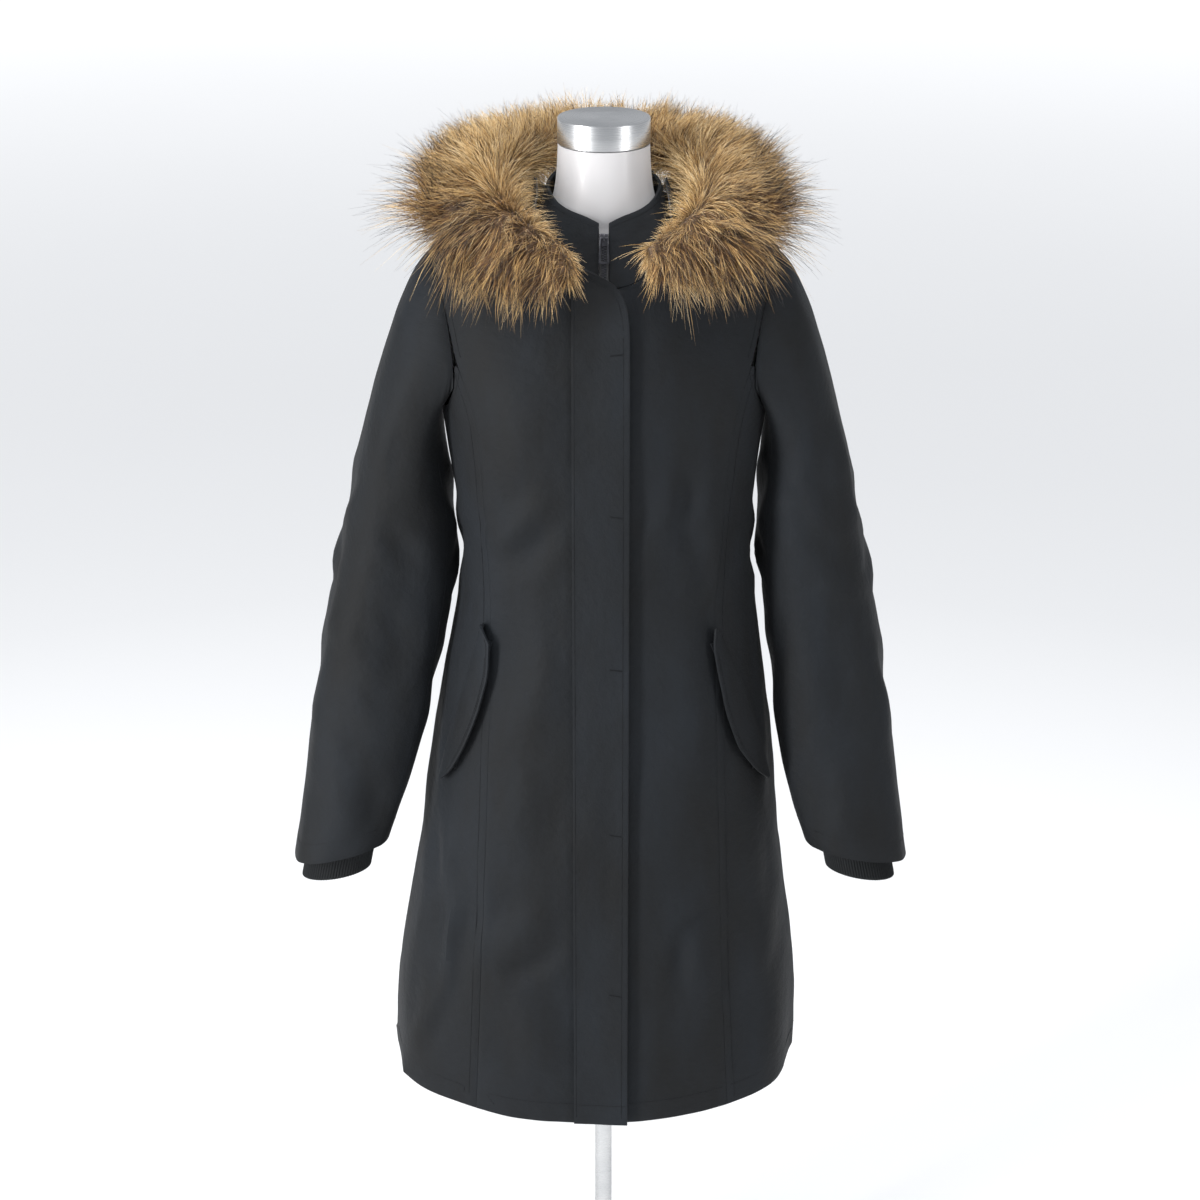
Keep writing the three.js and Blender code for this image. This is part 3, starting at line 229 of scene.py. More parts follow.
# The dress form: a moulded torso without arms or legs, with a short neck, covered in pearly white
# jersey. The coat hangs on its shoulders, and the cap closes its neck.
SHARP = math.radians(48)
DOUBLES = 2e-6
PAIRED = {"angle_face_threshold": math.radians(40), "angle_shape_threshold": math.radians(55)}


def merged_quads(node):
    """A copy of a node's mesh with its loose triangles merged and paired into quads."""
    bm = bmesh.new()
    bm.from_mesh(nodes[node].data)
    bmesh.ops.remove_doubles(bm, verts=bm.verts, dist=DOUBLES)
    bmesh.ops.join_triangles(bm, faces=bm.faces, **PAIRED)
    bm.normal_update()
    return bm


def halved(bm, longest):
    """Halves the edges over a length."""
    edges = [edge for edge in bm.edges if edge.calc_length() > longest]
    bmesh.ops.subdivide_edges(bm, edges=edges, cuts=1, use_grid_fill=True)


def closed_copy(name, node, material, longest, levels=2):
    """A smooth fine copy of a whole node that keeps its sharp edges."""
    bm = merged_quads(node)
    halved(bm, longest)
    crease = bm.edges.layers.float.new("crease_edge")
    for edge in bm.edges:
        edge[crease] = 1.0 if edge.calc_face_angle(0) > SHARP else 0.0
    piece = placed(name, meshed(name, bm), material)
    modified(piece, "SUBSURF", levels=levels, render_levels=levels)
    return plain(piece)


jersey, add, shader, place, patches = speckled(
    "pearly jersey",
    {"Sheen Weight": 0.25, "Coat Weight": 0.15},
    {"Scale": 14.0},
    colours=((0.38, 0.375, 0.38), (0.47, 0.46, 0.465)),
    roughness=(0.34, 0.46),
)
knit = add("ShaderNodeTexVoronoi", {"Vector": place, "Scale": 1100.0}).outputs["Distance"]
raised(add, shader, knit, strength=0.15, distance=0.0002)
torso = closed_copy("torso_jersey", "form_torso", jersey, longest=0.05)
smooth_by_angle(torso)
fixed(torso, "form_skin", "form_torso")


# The coat's shell: fronts, side fronts and backs of dense navy-black cotton, lightly padded and lined,
# cut as flat pieces and sewn edge to edge. A row of topstitching runs beside most of the seams.
# Creases by the side that they are seen on: both ends as distance across and height, width, depth.
BODY_CREASES_MM = {
    "front": [
        (-56, 1135, -127, 1053, 26, 2.8), (-58, 1098, -112, 1030, 30, -2.2),
        (-104, 1262, -84, 1130, 62, 2.6), (-70, 960, -100, 830, 48, 2.0),
        (-112, 1010, -96, 880, 34, -2.0), (-46, 820, -74, 700, 40, -1.8),
        (-42, 607, -114, 570, 24, -3.0), (-60, 650, -140, 590, 34, 2.6),
        (-92, 548, -70, 440, 44, 2.4), (-172, 742, -196, 610, 15, 3.0),
        (-186, 720, -212, 520, 18, -3.0), (-168, 640, -206, 470, 14, 2.8),
        (-150, 700, -166, 560, 20, -2.2), (-196, 560, -222, 440, 16, 2.6),
        (88, 1167, 76, 1079, 22, -2.6), (90, 1085, 103, 1000, 20, -2.4),
        (112, 1130, 98, 1010, 26, 2.2), (60, 1150, 52, 1050, 28, 2.0),
        (66, 1010, 84, 880, 36, 1.8), (92, 900, 70, 760, 44, 2.2),
        (125, 648, 82, 620, 22, -2.8), (84, 628, 75, 552, 20, -2.6),
        (108, 610, 96, 500, 26, 2.4), (176, 628, 172, 545, 24, 2.6),
        (150, 560, 156, 430, 34, -2.2), (186, 740, 196, 620, 18, 2.2),
    ],
    "back": [
        (-60, 1250, -96, 1130, 50, 2.6), (44, 1230, 86, 1120, 46, 2.2),
        (-30, 1060, -92, 1010, 26, 2.4), (36, 1046, 104, 1012, 24, 2.6),
        (-18, 1010, -74, 962, 28, -2.4), (22, 1000, 80, 968, 30, -2.0),
        (-110, 960, -80, 800, 44, 2.2), (96, 940, 74, 780, 40, 2.0),
        (-52, 700, -84, 500, 46, 3.0), (60, 720, 88, 520, 50, 3.0),
        (14, 640, 26, 440, 36, -2.4), (-130, 660, -160, 470, 34, -2.6),
        (136, 640, 158, 480, 30, -2.6),
    ],
    "left": [
        (-40, 1090, 30, 1030, 24, 2.4), (-30, 1040, 40, 985, 26, -2.2),
        (20, 900, -14, 700, 40, 2.6), (50, 640, 34, 450, 34, 2.6),
    ],
    "right": [
        (-36, 1080, 34, 1024, 24, 2.4), (-24, 1030, 44, 980, 24, -2.0),
        (24, 880, -10, 690, 44, 2.4), (46, 620, 30, 440, 36, 2.6),
    ],
}
FACING = {"front": (0, -1), "back": (0, 1), "left": (-1, 0), "right": (1, 0)}
RIM_CORNER = math.radians(30)
BODY_MIDDLE = Vector((0, 0, 0))
TALL_WAVE = np.array([0.075, 0.075, 0.21])
SMALL_WAVE = np.array([0.024, 0.024, 0.034])
DENTS_ASIDE = 7.3
# A crease's depth beside its table's, how fast it fades round the body, its bow as a share of its
# length, the trough on both sides of the ridge and where that lies, and how its ends run out.
CREASE = {"deepened": 1.55, "fade": 2.2, "bow": 0.07, "trough": 0.4, "trough_at": 1.9, "ends": 0.8}


def creased(points, normals, creases):
    """How far out each point moves, in metres, for soft ridges and troughs along a table's lines."""
    total = np.zeros(len(points))
    lines = [(side, *row) for side, rows in creases.items() for row in rows]
    for side, across_1, z_1, across_2, z_2, wide, deep in lines:
        facing = np.array([*FACING[side], 0])
        seen = np.clip(normals @ facing * CREASE["fade"], 0, 1)
        across = points[:, 0] if side in ("front", "back") else points[:, 1]
        run = np.array(mm(across_2 - across_1, z_2 - z_1))
        length = np.hypot(*run)
        run /= length
        u = across - across_1 / 1000
        v = points[:, 2] - z_1 / 1000
        along = np.clip((u * run[0] + v * run[1]) / length, 0, 1)
        bow = CREASE["bow"] * length * np.sin(math.pi * along)
        off = (v * run[0] - u * run[1] - bow) / (wide / 2000)
        trough = CREASE["trough"] * np.exp(-((np.abs(off) - CREASE["trough_at"]) ** 2) * 2)
        run_out = np.sin(math.pi * along) ** CREASE["ends"]
        total += deep * CREASE["deepened"] / 1000 * seen * run_out * (np.exp(-(off**2)) - trough)
    return total


def rumpled(points, tall, small):
    """Uneven hang of the cloth: long waves that run down it, and small dents, in metres."""
    waves = [noise.noise(Vector(p)) for p in points / TALL_WAVE]
    dents = [noise.noise(Vector(p)) for p in points / SMALL_WAVE + DENTS_ASIDE]
    return np.array(waves) * tall + np.array(dents) * small


def coordinates(shape, what="co"):
    values = np.zeros(len(shape.vertices) * 3)
    shape.vertices.foreach_get(what, values)
    return values.reshape(-1, 3)


def outer_wall(node, middle):
    """The outer face of a cloth node, as an open sheet of quads."""
    bm = merged_quads(node)
    walls = []
    left = set(bm.faces)
    for seed in bm.faces:
        if seed not in left:
            continue
        left.remove(seed)
        wall = [seed]
        for face in wall:
            for edge in face.edges:
                if edge.calc_face_angle(0) < SHARP:
                    found = [other for other in edge.link_faces if other in left]
                    left.difference_update(found)
                    wall.extend(found)
        walls.append(wall)

    def outwards(wall):
        away = [(f.calc_center_median() - middle) * Vector((1, 1, 0)) for f in wall]
        return sum(a.dot(f.normal) * f.calc_area() for a, f in zip(away, wall))

    outer = set(max(walls, key=outwards))
    for wall in walls:
        if len(wall) < 3 and outwards(wall) > 0:
            outer.update(wall)
    bmesh.ops.delete(bm, geom=[f for f in bm.faces if f not in outer], context="FACES")
    return bm


def open_sheet(name, node, middle, longest=0.045):
    """A smooth fine mesh of a cloth node's outer face. Its corners stay sharp."""
    bm = outer_wall(node, middle)
    halved(bm, longest)
    corner = bm.verts.layers.float.new("crease_vert")
    for vertex in bm.verts:
        rim = [edge.other_vert(vertex).co for edge in vertex.link_edges if edge.is_boundary]
        if len(rim) == 2 and (rim[0] - vertex.co).angle(vertex.co - rim[1], 0) > RIM_CORNER:
            vertex[corner] = 1.0
    sheet = added(name, meshed(name, bm))
    modified(sheet, "SUBSURF", levels=2, render_levels=2)
    return plain(sheet)


def hung(sheet, creases, tall=0.0022, small=0.0007):
    """Moves a sheet's points in and out by its creases and the cloth's uneven hang."""
    points = coordinates(sheet.data)
    normals = coordinates(sheet.data, "normal")
    out = creased(points, normals, creases) + rumpled(points, tall, small)
    points += normals * out[:, None]
    sheet.data.vertices.foreach_set("co", points.ravel())
    sheet.data.update()
    return sheet


def weave_map(sheet, middle):
    """Adds the map "cut": metres round the piece from the way that it faces, and up it."""
    points = coordinates(sheet.data)
    faced = points.mean(0)[:2] - np.array(middle[:2])
    away = points[:, :2] - np.array(middle[:2])
    turn = np.arctan2(faced[0] * away[:, 1] - faced[1] * away[:, 0], away @ faced)
    radius = np.hypot(*away.T).mean()
    corners = np.zeros(len(sheet.data.loops), int)
    sheet.data.loops.foreach_get("vertex_index", corners)
    cut = sheet.data.uv_layers.new(name="cut")
    cut.uv.foreach_set("vector", np.stack([turn * radius, points[:, 2]], 1)[corners].ravel())


def walled(sheet, material, wall, edge=0.0007):
    """Gives an open sheet its cloth thickness inwards, with softly rounded edges."""
    modified(sheet, "SOLIDIFY", thickness=wall, offset=-1)
    modified(sheet, "BEVEL", width=edge, segments=2, limit_method="ANGLE", angle_limit=SHARP)
    plain(sheet)
    sheet.data.materials.clear()
    sheet.data.materials.append(material)
    sheet.data.shade_smooth()


def skin_of(shape):
    """A mesh's surface, for finding places on it."""
    return BVHTree.FromPolygons([v.co for v in shape.vertices], [p.vertices for p in shape.polygons])


# Stitches: the height of the thread's middle over the cloth, and one stitch's sizes.
THREAD_OFF = 0.00012
THREAD_MM = {"pitch": 3.1, "long": 2.4, "thick": 0.34}


def rim_loop(bm):
    """The vertices of the longest rim of an open sheet, in order round it."""
    left = {vertex for vertex in bm.verts if vertex.is_boundary}
    loops = []
    for seed in bm.verts:
        if seed not in left:
            continue
        left.remove(seed)
        loop = [seed]
        ahead = True
        while ahead:
            rim = [edge.other_vert(loop[-1]) for edge in loop[-1].link_edges if edge.is_boundary]
            ahead = [vertex for vertex in rim if vertex in left][:1]
            loop += ahead
            left.difference_update(ahead)
        loops.append(loop)
    return max(loops, key=len)


def rim_run(sheet, start, end, row):
    """Points of a row of stitches: along the sheet's rim from near one point to near another, in mm,
    the shorter way round, and inset from the rim on the sheet as that row is."""
    bm = bmesh.new()
    bm.from_mesh(sheet.data)
    loop = rim_loop(bm)
    ends = [Vector(mm(*point)) for point in (start, end)]
    low, high = sorted(min(range(len(loop)), key=lambda i: (loop[i].co - p).length) for p in ends)
    ways = [loop[low : high + 1], loop[high:] + loop[: low + 1]]
    way = min(ways, key=lambda way: sum((b.co - a.co).length for a, b in zip(way, way[1:])))
    surface = BVHTree.FromBMesh(bm)
    (inset,) = mm(INSET_MM[row])
    run = []
    for i in range(1, len(way) - 1):
        along = (way[i + 1].co - way[i - 1].co).normalized()
        inwards = sum((f.calc_center_median() - way[i].co for f in way[i].link_faces), Vector())
        inwards -= inwards.dot(along) * along
        spot, normal, *_ = surface.find_nearest(way[i].co + inwards.normalized() * inset)
        run.append(spot + normal * THREAD_OFF)
    bm.free()
    return even_run(run)


def even_run(run, step=0.005, passes=2):
    """The same run with even steps, its little jogs smoothed."""
    points = np.array(run)
    for _ in range(passes):
        points[1:-1] = (points[:-2] + 2 * points[1:-1] + points[2:]) / 4
    far = np.concatenate([[0], np.cumsum(np.linalg.norm(np.diff(points, axis=0), axis=1))])
    marks = np.linspace(0, far[-1], max(2, round(far[-1] / step)))
    return np.stack([np.interp(marks, far, points[:, k]) for k in range(3)], 1)


def new_tree(name, inputs):
    """A geometry tree with named inputs, its adding function, and its group input and output."""
    tree = bpy.data.node_groups.new(name, "GeometryNodeTree")
    tree.interface.new_socket("Geometry", in_out="INPUT", socket_type="NodeSocketGeometry")
    for title, kind in inputs:
        tree.interface.new_socket(title, in_out="INPUT", socket_type="NodeSocket" + kind)
    tree.interface.new_socket("Geometry", in_out="OUTPUT", socket_type="NodeSocketGeometry")
    add = wired(tree)
    return tree, add, add("NodeGroupInput").outputs, add("NodeGroupOutput")


def ended(tree, add, given, end, shape):
    """Ends a tree: its shape is given the finish."""
    coloured = add("GeometryNodeSetMaterial", {"Geometry": shape, "Material": given["Finish"]})
    tree.links.new(coloured.outputs[0], end.inputs[0])
    return tree


def row_tree(name, sizes, kind, constants, taken):
    """A tree that sets small meshes of one kind one after another along each curve. Constants are
    the mesh's fixed inputs, and taken are those that come from the tree's own inputs."""
    tree, add, given, end = new_tree(name, [("Pitch", "Float"), *sizes, ("Finish", "Material")])
    spaced = {"Curve": given["Geometry"], "Length": given["Pitch"]}
    row = add("GeometryNodeResampleCurve", spaced, mode="LENGTH").outputs[0]
    small = add(kind, {**constants, **{socket: given[size] for socket, size in taken.items()}})
    way = add("GeometryNodeInputTangent").outputs[0]
    turn = add("FunctionNodeAlignRotationToVector", {"Vector": way}, axis="Z").outputs[0]
    set_out = {"Points": row, "Instance": small.outputs[0], "Rotation": turn}
    rows = add("GeometryNodeInstanceOnPoints", set_out).outputs[0]
    real = add("GeometryNodeRealizeInstances", {"Geometry": rows}).outputs[0]
    return ended(tree, add, given, end, real)


def grown(name, source, tree, values, material):
    """The plain mesh that a tree makes of an object, which is used up."""
    modifier = source.modifiers.new(name, "NODES")
    modifier.node_group = tree
    values = {**values, "Finish": material}
    for item in tree.interface.items_tree:
        if item.in_out == "INPUT" and item.name in values:
            modifier[item.identifier] = values[item.name]
    seen = source.evaluated_get(bpy.context.evaluated_depsgraph_get())
    shape = bpy.data.meshes.new_from_object(seen)
    bpy.data.objects.remove(source)
    return placed(name, shape, material)


def curves(name, runs):
    """One curve object with a straight-lined spline through each run of points."""
    line = bpy.data.curves.new(name, "CURVE")
    line.dimensions = "3D"
    for run in runs:
        spline = line.splines.new("POLY")
        spline.points.add(len(run) - 1)
        spline.points.foreach_set("co", np.c_[run, np.ones(len(run))].ravel())
    return added(name, line)


def sewn(name, runs, pitch=THREAD_MM["pitch"]):
    """Rows of stitches along runs of points, fixed to the coat."""
    long, thick = mm(pitch * THREAD_MM["long"] / THREAD_MM["pitch"], THREAD_MM["thick"])
    sizes = {"Pitch": pitch / 1000, "Long": long, "Thick": thick}
    fixed(grown(name, curves(name, runs), stitch_rows, sizes, thread), "cloth")


# The weave turns through one wave in 1.1 mm; its slubs are long one way and thin the other.
WEAVE = 2 * math.pi / 0.0011
SLUBS = ((900, 22, 1), (22, 900, 1))
DARK_NAVY, LIGHT_NAVY = (0.0042, 0.0047, 0.0053), (0.0092, 0.0118, 0.0155)


def dense_cotton():
    """Dense cotton: a fine weave on the map "cut", soft cloudy patches, and a dry sheen."""
    dry = {"Sheen Weight": 0.02, "Sheen Roughness": 0.45, "Specular IOR Level": 0.16}
    cloth, add, shader = new_finish("navy cotton", dry)
    place = add("ShaderNodeTexCoord").outputs["Object"]
    cut = add("ShaderNodeUVMap", uv_map="cut").outputs["UV"]
    parts = add("ShaderNodeSeparateXYZ", {"Vector": cut}).outputs
    stretched = add("ShaderNodeMapping", {"Vector": place, "Scale": (1, 1, 0.35)}).outputs[0]
    cloudy = {"Vector": stretched, "Scale": 11.0, "Detail": 6.0, "Roughness": 0.6}
    clouds = add("ShaderNodeTexNoise", cloudy).outputs["Fac"]
    slubs = add("ShaderNodeTexNoise", {"Vector": cut, "Scale": 700.0, "Detail": 3.0}).outputs["Fac"]
    for stretch in SLUBS:
        run = add("ShaderNodeMapping", {"Vector": cut, "Scale": stretch}).outputs[0]
        streak = add("ShaderNodeTexNoise", {"Vector": run, "Scale": 1.0, "Detail": 3.0}).outputs["Fac"]
        slubs = add("ShaderNodeMath", {0: slubs, 1: streak}, operation="ADD").outputs[0]
    uneven = {0: clouds, 1: between(add, slubs, -0.5, -0.1)}
    tone = add("ShaderNodeMath", uneven, operation="ADD").outputs[0]
    shade = between(add, tone, -0.6, 1.6)
    drive(shader, "Base Color", blended(add, shade, DARK_NAVY, LIGHT_NAVY))
    drive(shader, "Roughness", between(add, clouds, 0.62, 0.78))
    waves = []
    for way in ("X", "Y"):
        turned = add("ShaderNodeMath", {0: parts[way], 1: WEAVE}, operation="MULTIPLY").outputs[0]
        waves.append(add("ShaderNodeMath", {0: turned}, operation="SINE").outputs[0])
    woven = add("ShaderNodeMath", dict(enumerate(waves)), operation="MULTIPLY").outputs[0]
    fine = raised(add, shader, woven, strength=0.25, distance=0.00012)
    crumpled = {"Vector": cut, "Scale": 95.0, "Detail": 4.0, "Roughness": 0.6}
    crumb = add("ShaderNodeTexNoise", crumpled).outputs["Fac"]
    raised(add, shader, crumb, strength=0.6, distance=0.0018, below=fine)
    return cloth


thread = speckled(
    "black thread",
    {"Specular IOR Level": 0.2},
    {"Scale": 2500.0},
    colours=((0.002, 0.002, 0.0025), (0.008, 0.009, 0.011)),
    roughness=(0.7, 0.9),
)[0]
stitch_rows = row_tree(
    "stitch rows",
    [("Long", "Float"), ("Thick", "Float")],
    "GeometryNodeMeshCylinder",
    {"Vertices": 4},
    {"Radius": "Thick", "Depth": "Long"},
)
navy = dense_cotton()
SHELL_WALL = 0.0028

# The wearer's side for each sign of x.
WEARER = {-1: "right", 1: "left"}


# How far each row of stitches lies from its seam or hem.
INSET_MM = {
    "hem": 24,
    "princess": 9.5,
    "armhole": 7,
    "neck": 3,
    "shoulder": 6,
    "centre_back": 5,
    "sleeve_hem": 22,
    "sleeve_seam": 5,
    "flap_edge": 4.5,
    "flap_top": 3,
    "placket_edge": 6.5,
    "placket_seam": 2.5,
    "collar": 5.5,
}
SKIRT_MM = {-1: 240, 1: 214}

seam_runs = []
for side in (-1, 1):
    skirt = SKIRT_MM[side]
    hem_centre, hem_princess = (side * 5, -137, 386), (side * 143, -122, 400)
    hem_side, back_low = (side * skirt, 0, 400), (side * 1, 146, 386)
    princess_top, underarm = (side * 152, -66, 1254), (side * 170, 0, 1190)
    tip, neck = (side * 180, 0, 1361), (side * 66, 0, 1404)
    nape = (side * 1, 80, 1384)
    panels = {
        "front": [
            (hem_centre, hem_princess, "hem"),
            (princess_top, tip, "armhole"),
            (tip, neck, "neck"),
        ],
        "side_front": [
            (hem_princess, hem_side, "hem"),
            (hem_princess, princess_top, "princess"),
            (princess_top, underarm, "armhole"),
        ],
        "back": [
            (back_low, hem_side, "hem"),
            (underarm, tip, "armhole"),
            (tip, neck, "shoulder"),
            (back_low, nape, "centre_back"),
        ],
    }
    for kind, rows in panels.items():
        node = f"{kind}_{WEARER[side]}"
        sheet = hung(open_sheet(node + "_cloth", node, BODY_MIDDLE), BODY_CREASES_MM)
        seam_runs += [rim_run(sheet, *row) for row in rows]
        weave_map(sheet, BODY_MIDDLE)
        walled(sheet, navy, SHELL_WALL)
        fixed(sheet, "cloth", node)


# The sleeves: an upper piece round the outside and an under piece inside the arm, set into the
# armhole. They hang empty, so they crease at the elbow and along the inner seam.
SLEEVE_CREASES_MM = {
    "front": [
        (-224, 1004, -227, 882, 27, -3.4), (-262, 1120, -296, 900, 46, 3.0),
        (-190, 1210, -214, 1090, 30, 2.6), (-236, 1070, -196, 1012, 22, -2.6),
        (-250, 1010, -206, 962, 24, 2.4), (-300, 960, -246, 900, 26, 2.2),
        (-318, 880, -262, 820, 30, -2.4), (-300, 800, -284, 712, 34, 2.6),
        (-244, 800, -262, 716, 26, -2.2), (222, 1200, 236, 1120, 24, -3.2),
        (246, 1190, 262, 1050, 36, 3.0), (200, 1130, 236, 1066, 20, 2.6),
        (214, 1062, 268, 1016, 24, -2.6), (226, 1004, 284, 984, 22, 2.4),
        (240, 960, 256, 850, 32, -2.8), (292, 940, 300, 800, 40, 3.0),
        (252, 820, 262, 712, 28, 2.4),
    ],
    "back": [
        (-240, 1140, -270, 1010, 40, 3.0), (-210, 1040, -262, 1000, 24, -3.0),
        (-222, 990, -280, 962, 22, 3.0), (-266, 900, -290, 760, 40, -2.6),
        (238, 1150, 268, 1020, 42, 3.0), (212, 1030, 262, 990, 22, -3.0),
        (220, 972, 276, 950, 24, 2.8), (262, 890, 288, 740, 38, -2.6),
    ],
    "left": [
        (-30, 1120, 26, 1060, 30, -2.6), (34, 1040, -20, 1000, 24, 2.8),
        (-36, 930, 10, 850, 34, -2.4),
    ],
    "right": [
        (-26, 1110, 30, 1050, 28, -2.8), (30, 1030, -24, 985, 24, 2.8),
        (-40, 920, 6, 830, 34, -2.6),
    ],
}

# Where the two seams of each sleeve meet its hem, at the front and at the back.
ARM_SEAMS_MM = {-1: ((-243, -62, 700), (-262, 16, 696)), 1: ((226, -62, 700), (248, 16, 696))}

for side in (-1, 1):
    arm = Vector(mm(side * 232, 0, 1000))
    armpit = (side * 171, 30, 1200)
    inner_front, inner_back = ARM_SEAMS_MM[side]
    for kind in ("upper_sleeve", "under_sleeve"):
        node = f"{kind}_{WEARER[side]}"
        sheet = hung(open_sheet(node + "_cloth", node, arm), SLEEVE_CREASES_MM)
        seam_runs.append(rim_run(sheet, inner_front, inner_back, "sleeve_hem"))
        if kind == "upper_sleeve":
            seam_runs.append(rim_run(sheet, inner_back, armpit, "sleeve_seam"))
        weave_map(sheet, arm)
        walled(sheet, navy, SHELL_WALL)
        fixed(sheet, "cloth", node)


# The pocket flaps and the welts under them: two layers of the coat's cotton, sewn on at the slanted
# edge, topstitched all round, and standing a little off the front along the free edge.
for side in (-1, 1):
    for kind, wall in (("welt", 0.0015), ("flap", 0.0026)):
        node = f"{kind}_{WEARER[side]}"
        sheet = open_sheet(node + "_cloth", node, BODY_MIDDLE, longest=0.02)
        hung(sheet, BODY_CREASES_MM)
        if kind == "flap":
            free_top, free_foot = (side * 115, -110, 940), (side * 168, -100, 795)
            sewn_top, sewn_foot = (side * 122, -108, 968), (side * 174, -100, 780)
            seam_runs.append(rim_run(sheet, free_top, free_foot, "flap_edge"))
            seam_runs.append(rim_run(sheet, sewn_top, sewn_foot, "flap_top"))
        weave_map(sheet, BODY_MIDDLE)
        walled(sheet, navy, wall, edge=0.0005)
        fixed(sheet, "cloth", node)


# The front zip: woven tape between the fronts, a row of moulded teeth on its middle, and a slider
# with a swinging pull in dark gunmetal. The placket hides most of it.
ZIP_MM = {"low": 392, "high": 1386, "step": 4, "off": 0.3, "pitch": 2.6, "lag": 1.3}
# A tooth across the zip, out of it and along it; each of the two rows lies half its gap aside.
TOOTH_MM = (2.6, 1.5, 1.3)
TEETH_ASIDE_MM = 1.15

tape, add, shader, place, dust = speckled(
    "black tape",
    {"Sheen Weight": 0.1},
    {"Scale": 260.0},
    colours=((0.004, 0.004, 0.005), (0.012, 0.012, 0.014)),
    roughness=(0.55, 0.75),
)
ribs = add("ShaderNodeTexWave", {"Vector": place, "Scale": 420.0}, bands_direction="Z").outputs["Fac"]
raised(add, shader, ribs, strength=0.3, distance=0.0002)
gunmetal, add, shader, place, worn = speckled(
    "gunmetal",
    {"Metallic": 1.0},
    {"Scale": 340.0, "Detail": 4.0},
    colours=((0.03, 0.03, 0.034), (0.1, 0.1, 0.11)),
    roughness=(0.24, 0.42),
)
raised(add, shader, worn, strength=0.08, distance=0.0001)

tape_sheet = open_sheet("zip_tape_cloth", "zip_tape", BODY_MIDDLE, longest=0.1)
surface = skin_of(tape_sheet.data)
chain = []
for height in np.arange(ZIP_MM["low"], ZIP_MM["high"], ZIP_MM["step"]):
    spot, normal, *_ = surface.ray_cast(Vector(mm(0, -400, height)), Vector((0, 1, 0)))
    if spot is not None:
        chain.append(spot + normal * ZIP_MM["off"] / 1000)
sides = ((-TEETH_ASIDE_MM, 0), (TEETH_ASIDE_MM, ZIP_MM["lag"]))
chains = [np.array(chain) + np.array(mm(across, 0, lag)) for across, lag in sides]
tooth_rows = row_tree("zip teeth", [("Size", "Vector")], "GeometryNodeMeshCube", {}, {"Size": "Size"})
sizes = {"Pitch": ZIP_MM["pitch"] / 1000, "Size": mm(*TOOTH_MM)}
fixed(grown("zip_teeth", curves("zip teeth", chains), tooth_rows, sizes, gunmetal), "gunmetal")
walled(tape_sheet, tape, 0.0022, edge=0.0003)
fixed(tape_sheet, "zip_tape", "zip_tape")

for name, node, body in [("slider_cast", "zip_slider", COAT), ("pull_cast", "zip_pull", "pull")]:
    piece = placed(name, meshed(name, merged_quads(node)), gunmetal)
    modified(piece, "BEVEL", width=0.00022, segments=2, limit_method="ANGLE", angle_limit=0.5)
    plain(piece)
    smooth_by_angle(piece)
    fixed(piece, "gunmetal", node, body=body)


# The placket: a double storm flap of the same cotton over the zip, sewn down on the wearer's right
# and topstitched, with hidden snaps held by five short bar tacks near its free edge.
PLACKET_TACKS_MM = [(1279, 1.4), (1107, -1.6), (932, -1.0), (742, -1.3), (551, -1.5)]
TACK_MM = {"from": 7, "to": 18.5, "pitch": 1.5, "apart": 0.7}
TACK_POINTS = 9
PLACKET_PITCH_MM = 3.8

placket = hung(open_sheet("placket_cloth", "placket", BODY_MIDDLE), BODY_CREASES_MM)
sewn_low, sewn_top = (-33, -138, 386), (-33, -80, 1362)
free_low, free_top = (26, -142, 386), (26, -112, 1301)
placket_runs = [rim_run(placket, sewn_low, sewn_top, "placket_seam")]
seam_runs.append(rim_run(placket, free_low, free_top, "placket_edge"))
seam_runs.append(rim_run(placket, free_low, sewn_low, "hem"))
seam_runs.append(rim_run(placket, free_top, sewn_top, "placket_edge"))
surface = skin_of(placket.data)
tacks = []
for height, tilt in PLACKET_TACKS_MM:
    tack = []
    for across in np.linspace(TACK_MM["from"], TACK_MM["to"], TACK_POINTS):
        rise = tilt * (across - TACK_MM["from"]) / (TACK_MM["to"] - TACK_MM["from"])
        start = Vector(mm(across, -400, height + rise))
        spot, normal, *_ = surface.ray_cast(start, Vector((0, 1, 0)))
        tack.append(spot + normal * 2 * THREAD_OFF)
    tacks += [np.array(tack), np.array(tack) + np.array(mm(0, 0, TACK_MM["apart"]))]
weave_map(placket, BODY_MIDDLE)
walled(placket, navy, SHELL_WALL)
fixed(placket, "cloth", "placket")
sewn("placket_stitches", placket_runs, pitch=PLACKET_PITCH_MM)
sewn("bar_tacks", tacks, pitch=TACK_MM["pitch"])


# The stand collar: the same cotton on both sides, padded, topstitched along its top edge, which dips
# at the zip.
COLLAR_WALL = 0.0036
collar = open_sheet("collar_cloth", "collar", BODY_MIDDLE, longest=0.02)
hung(collar, {}, tall=0.0004, small=0.0003)
collar_front, collar_end = (-9, -66, 1402), (9, -66, 1402)
collar_back = (0, 62, 1446)
for start, end in ((collar_front, collar_back), (collar_back, collar_end)):
    seam_runs.append(rim_run(collar, start, end, "collar"))
weave_map(collar, BODY_MIDDLE)
walled(collar, navy, COLLAR_WALL)
fixed(collar, "cloth", "collar")

sewn("seam_stitches", seam_runs)


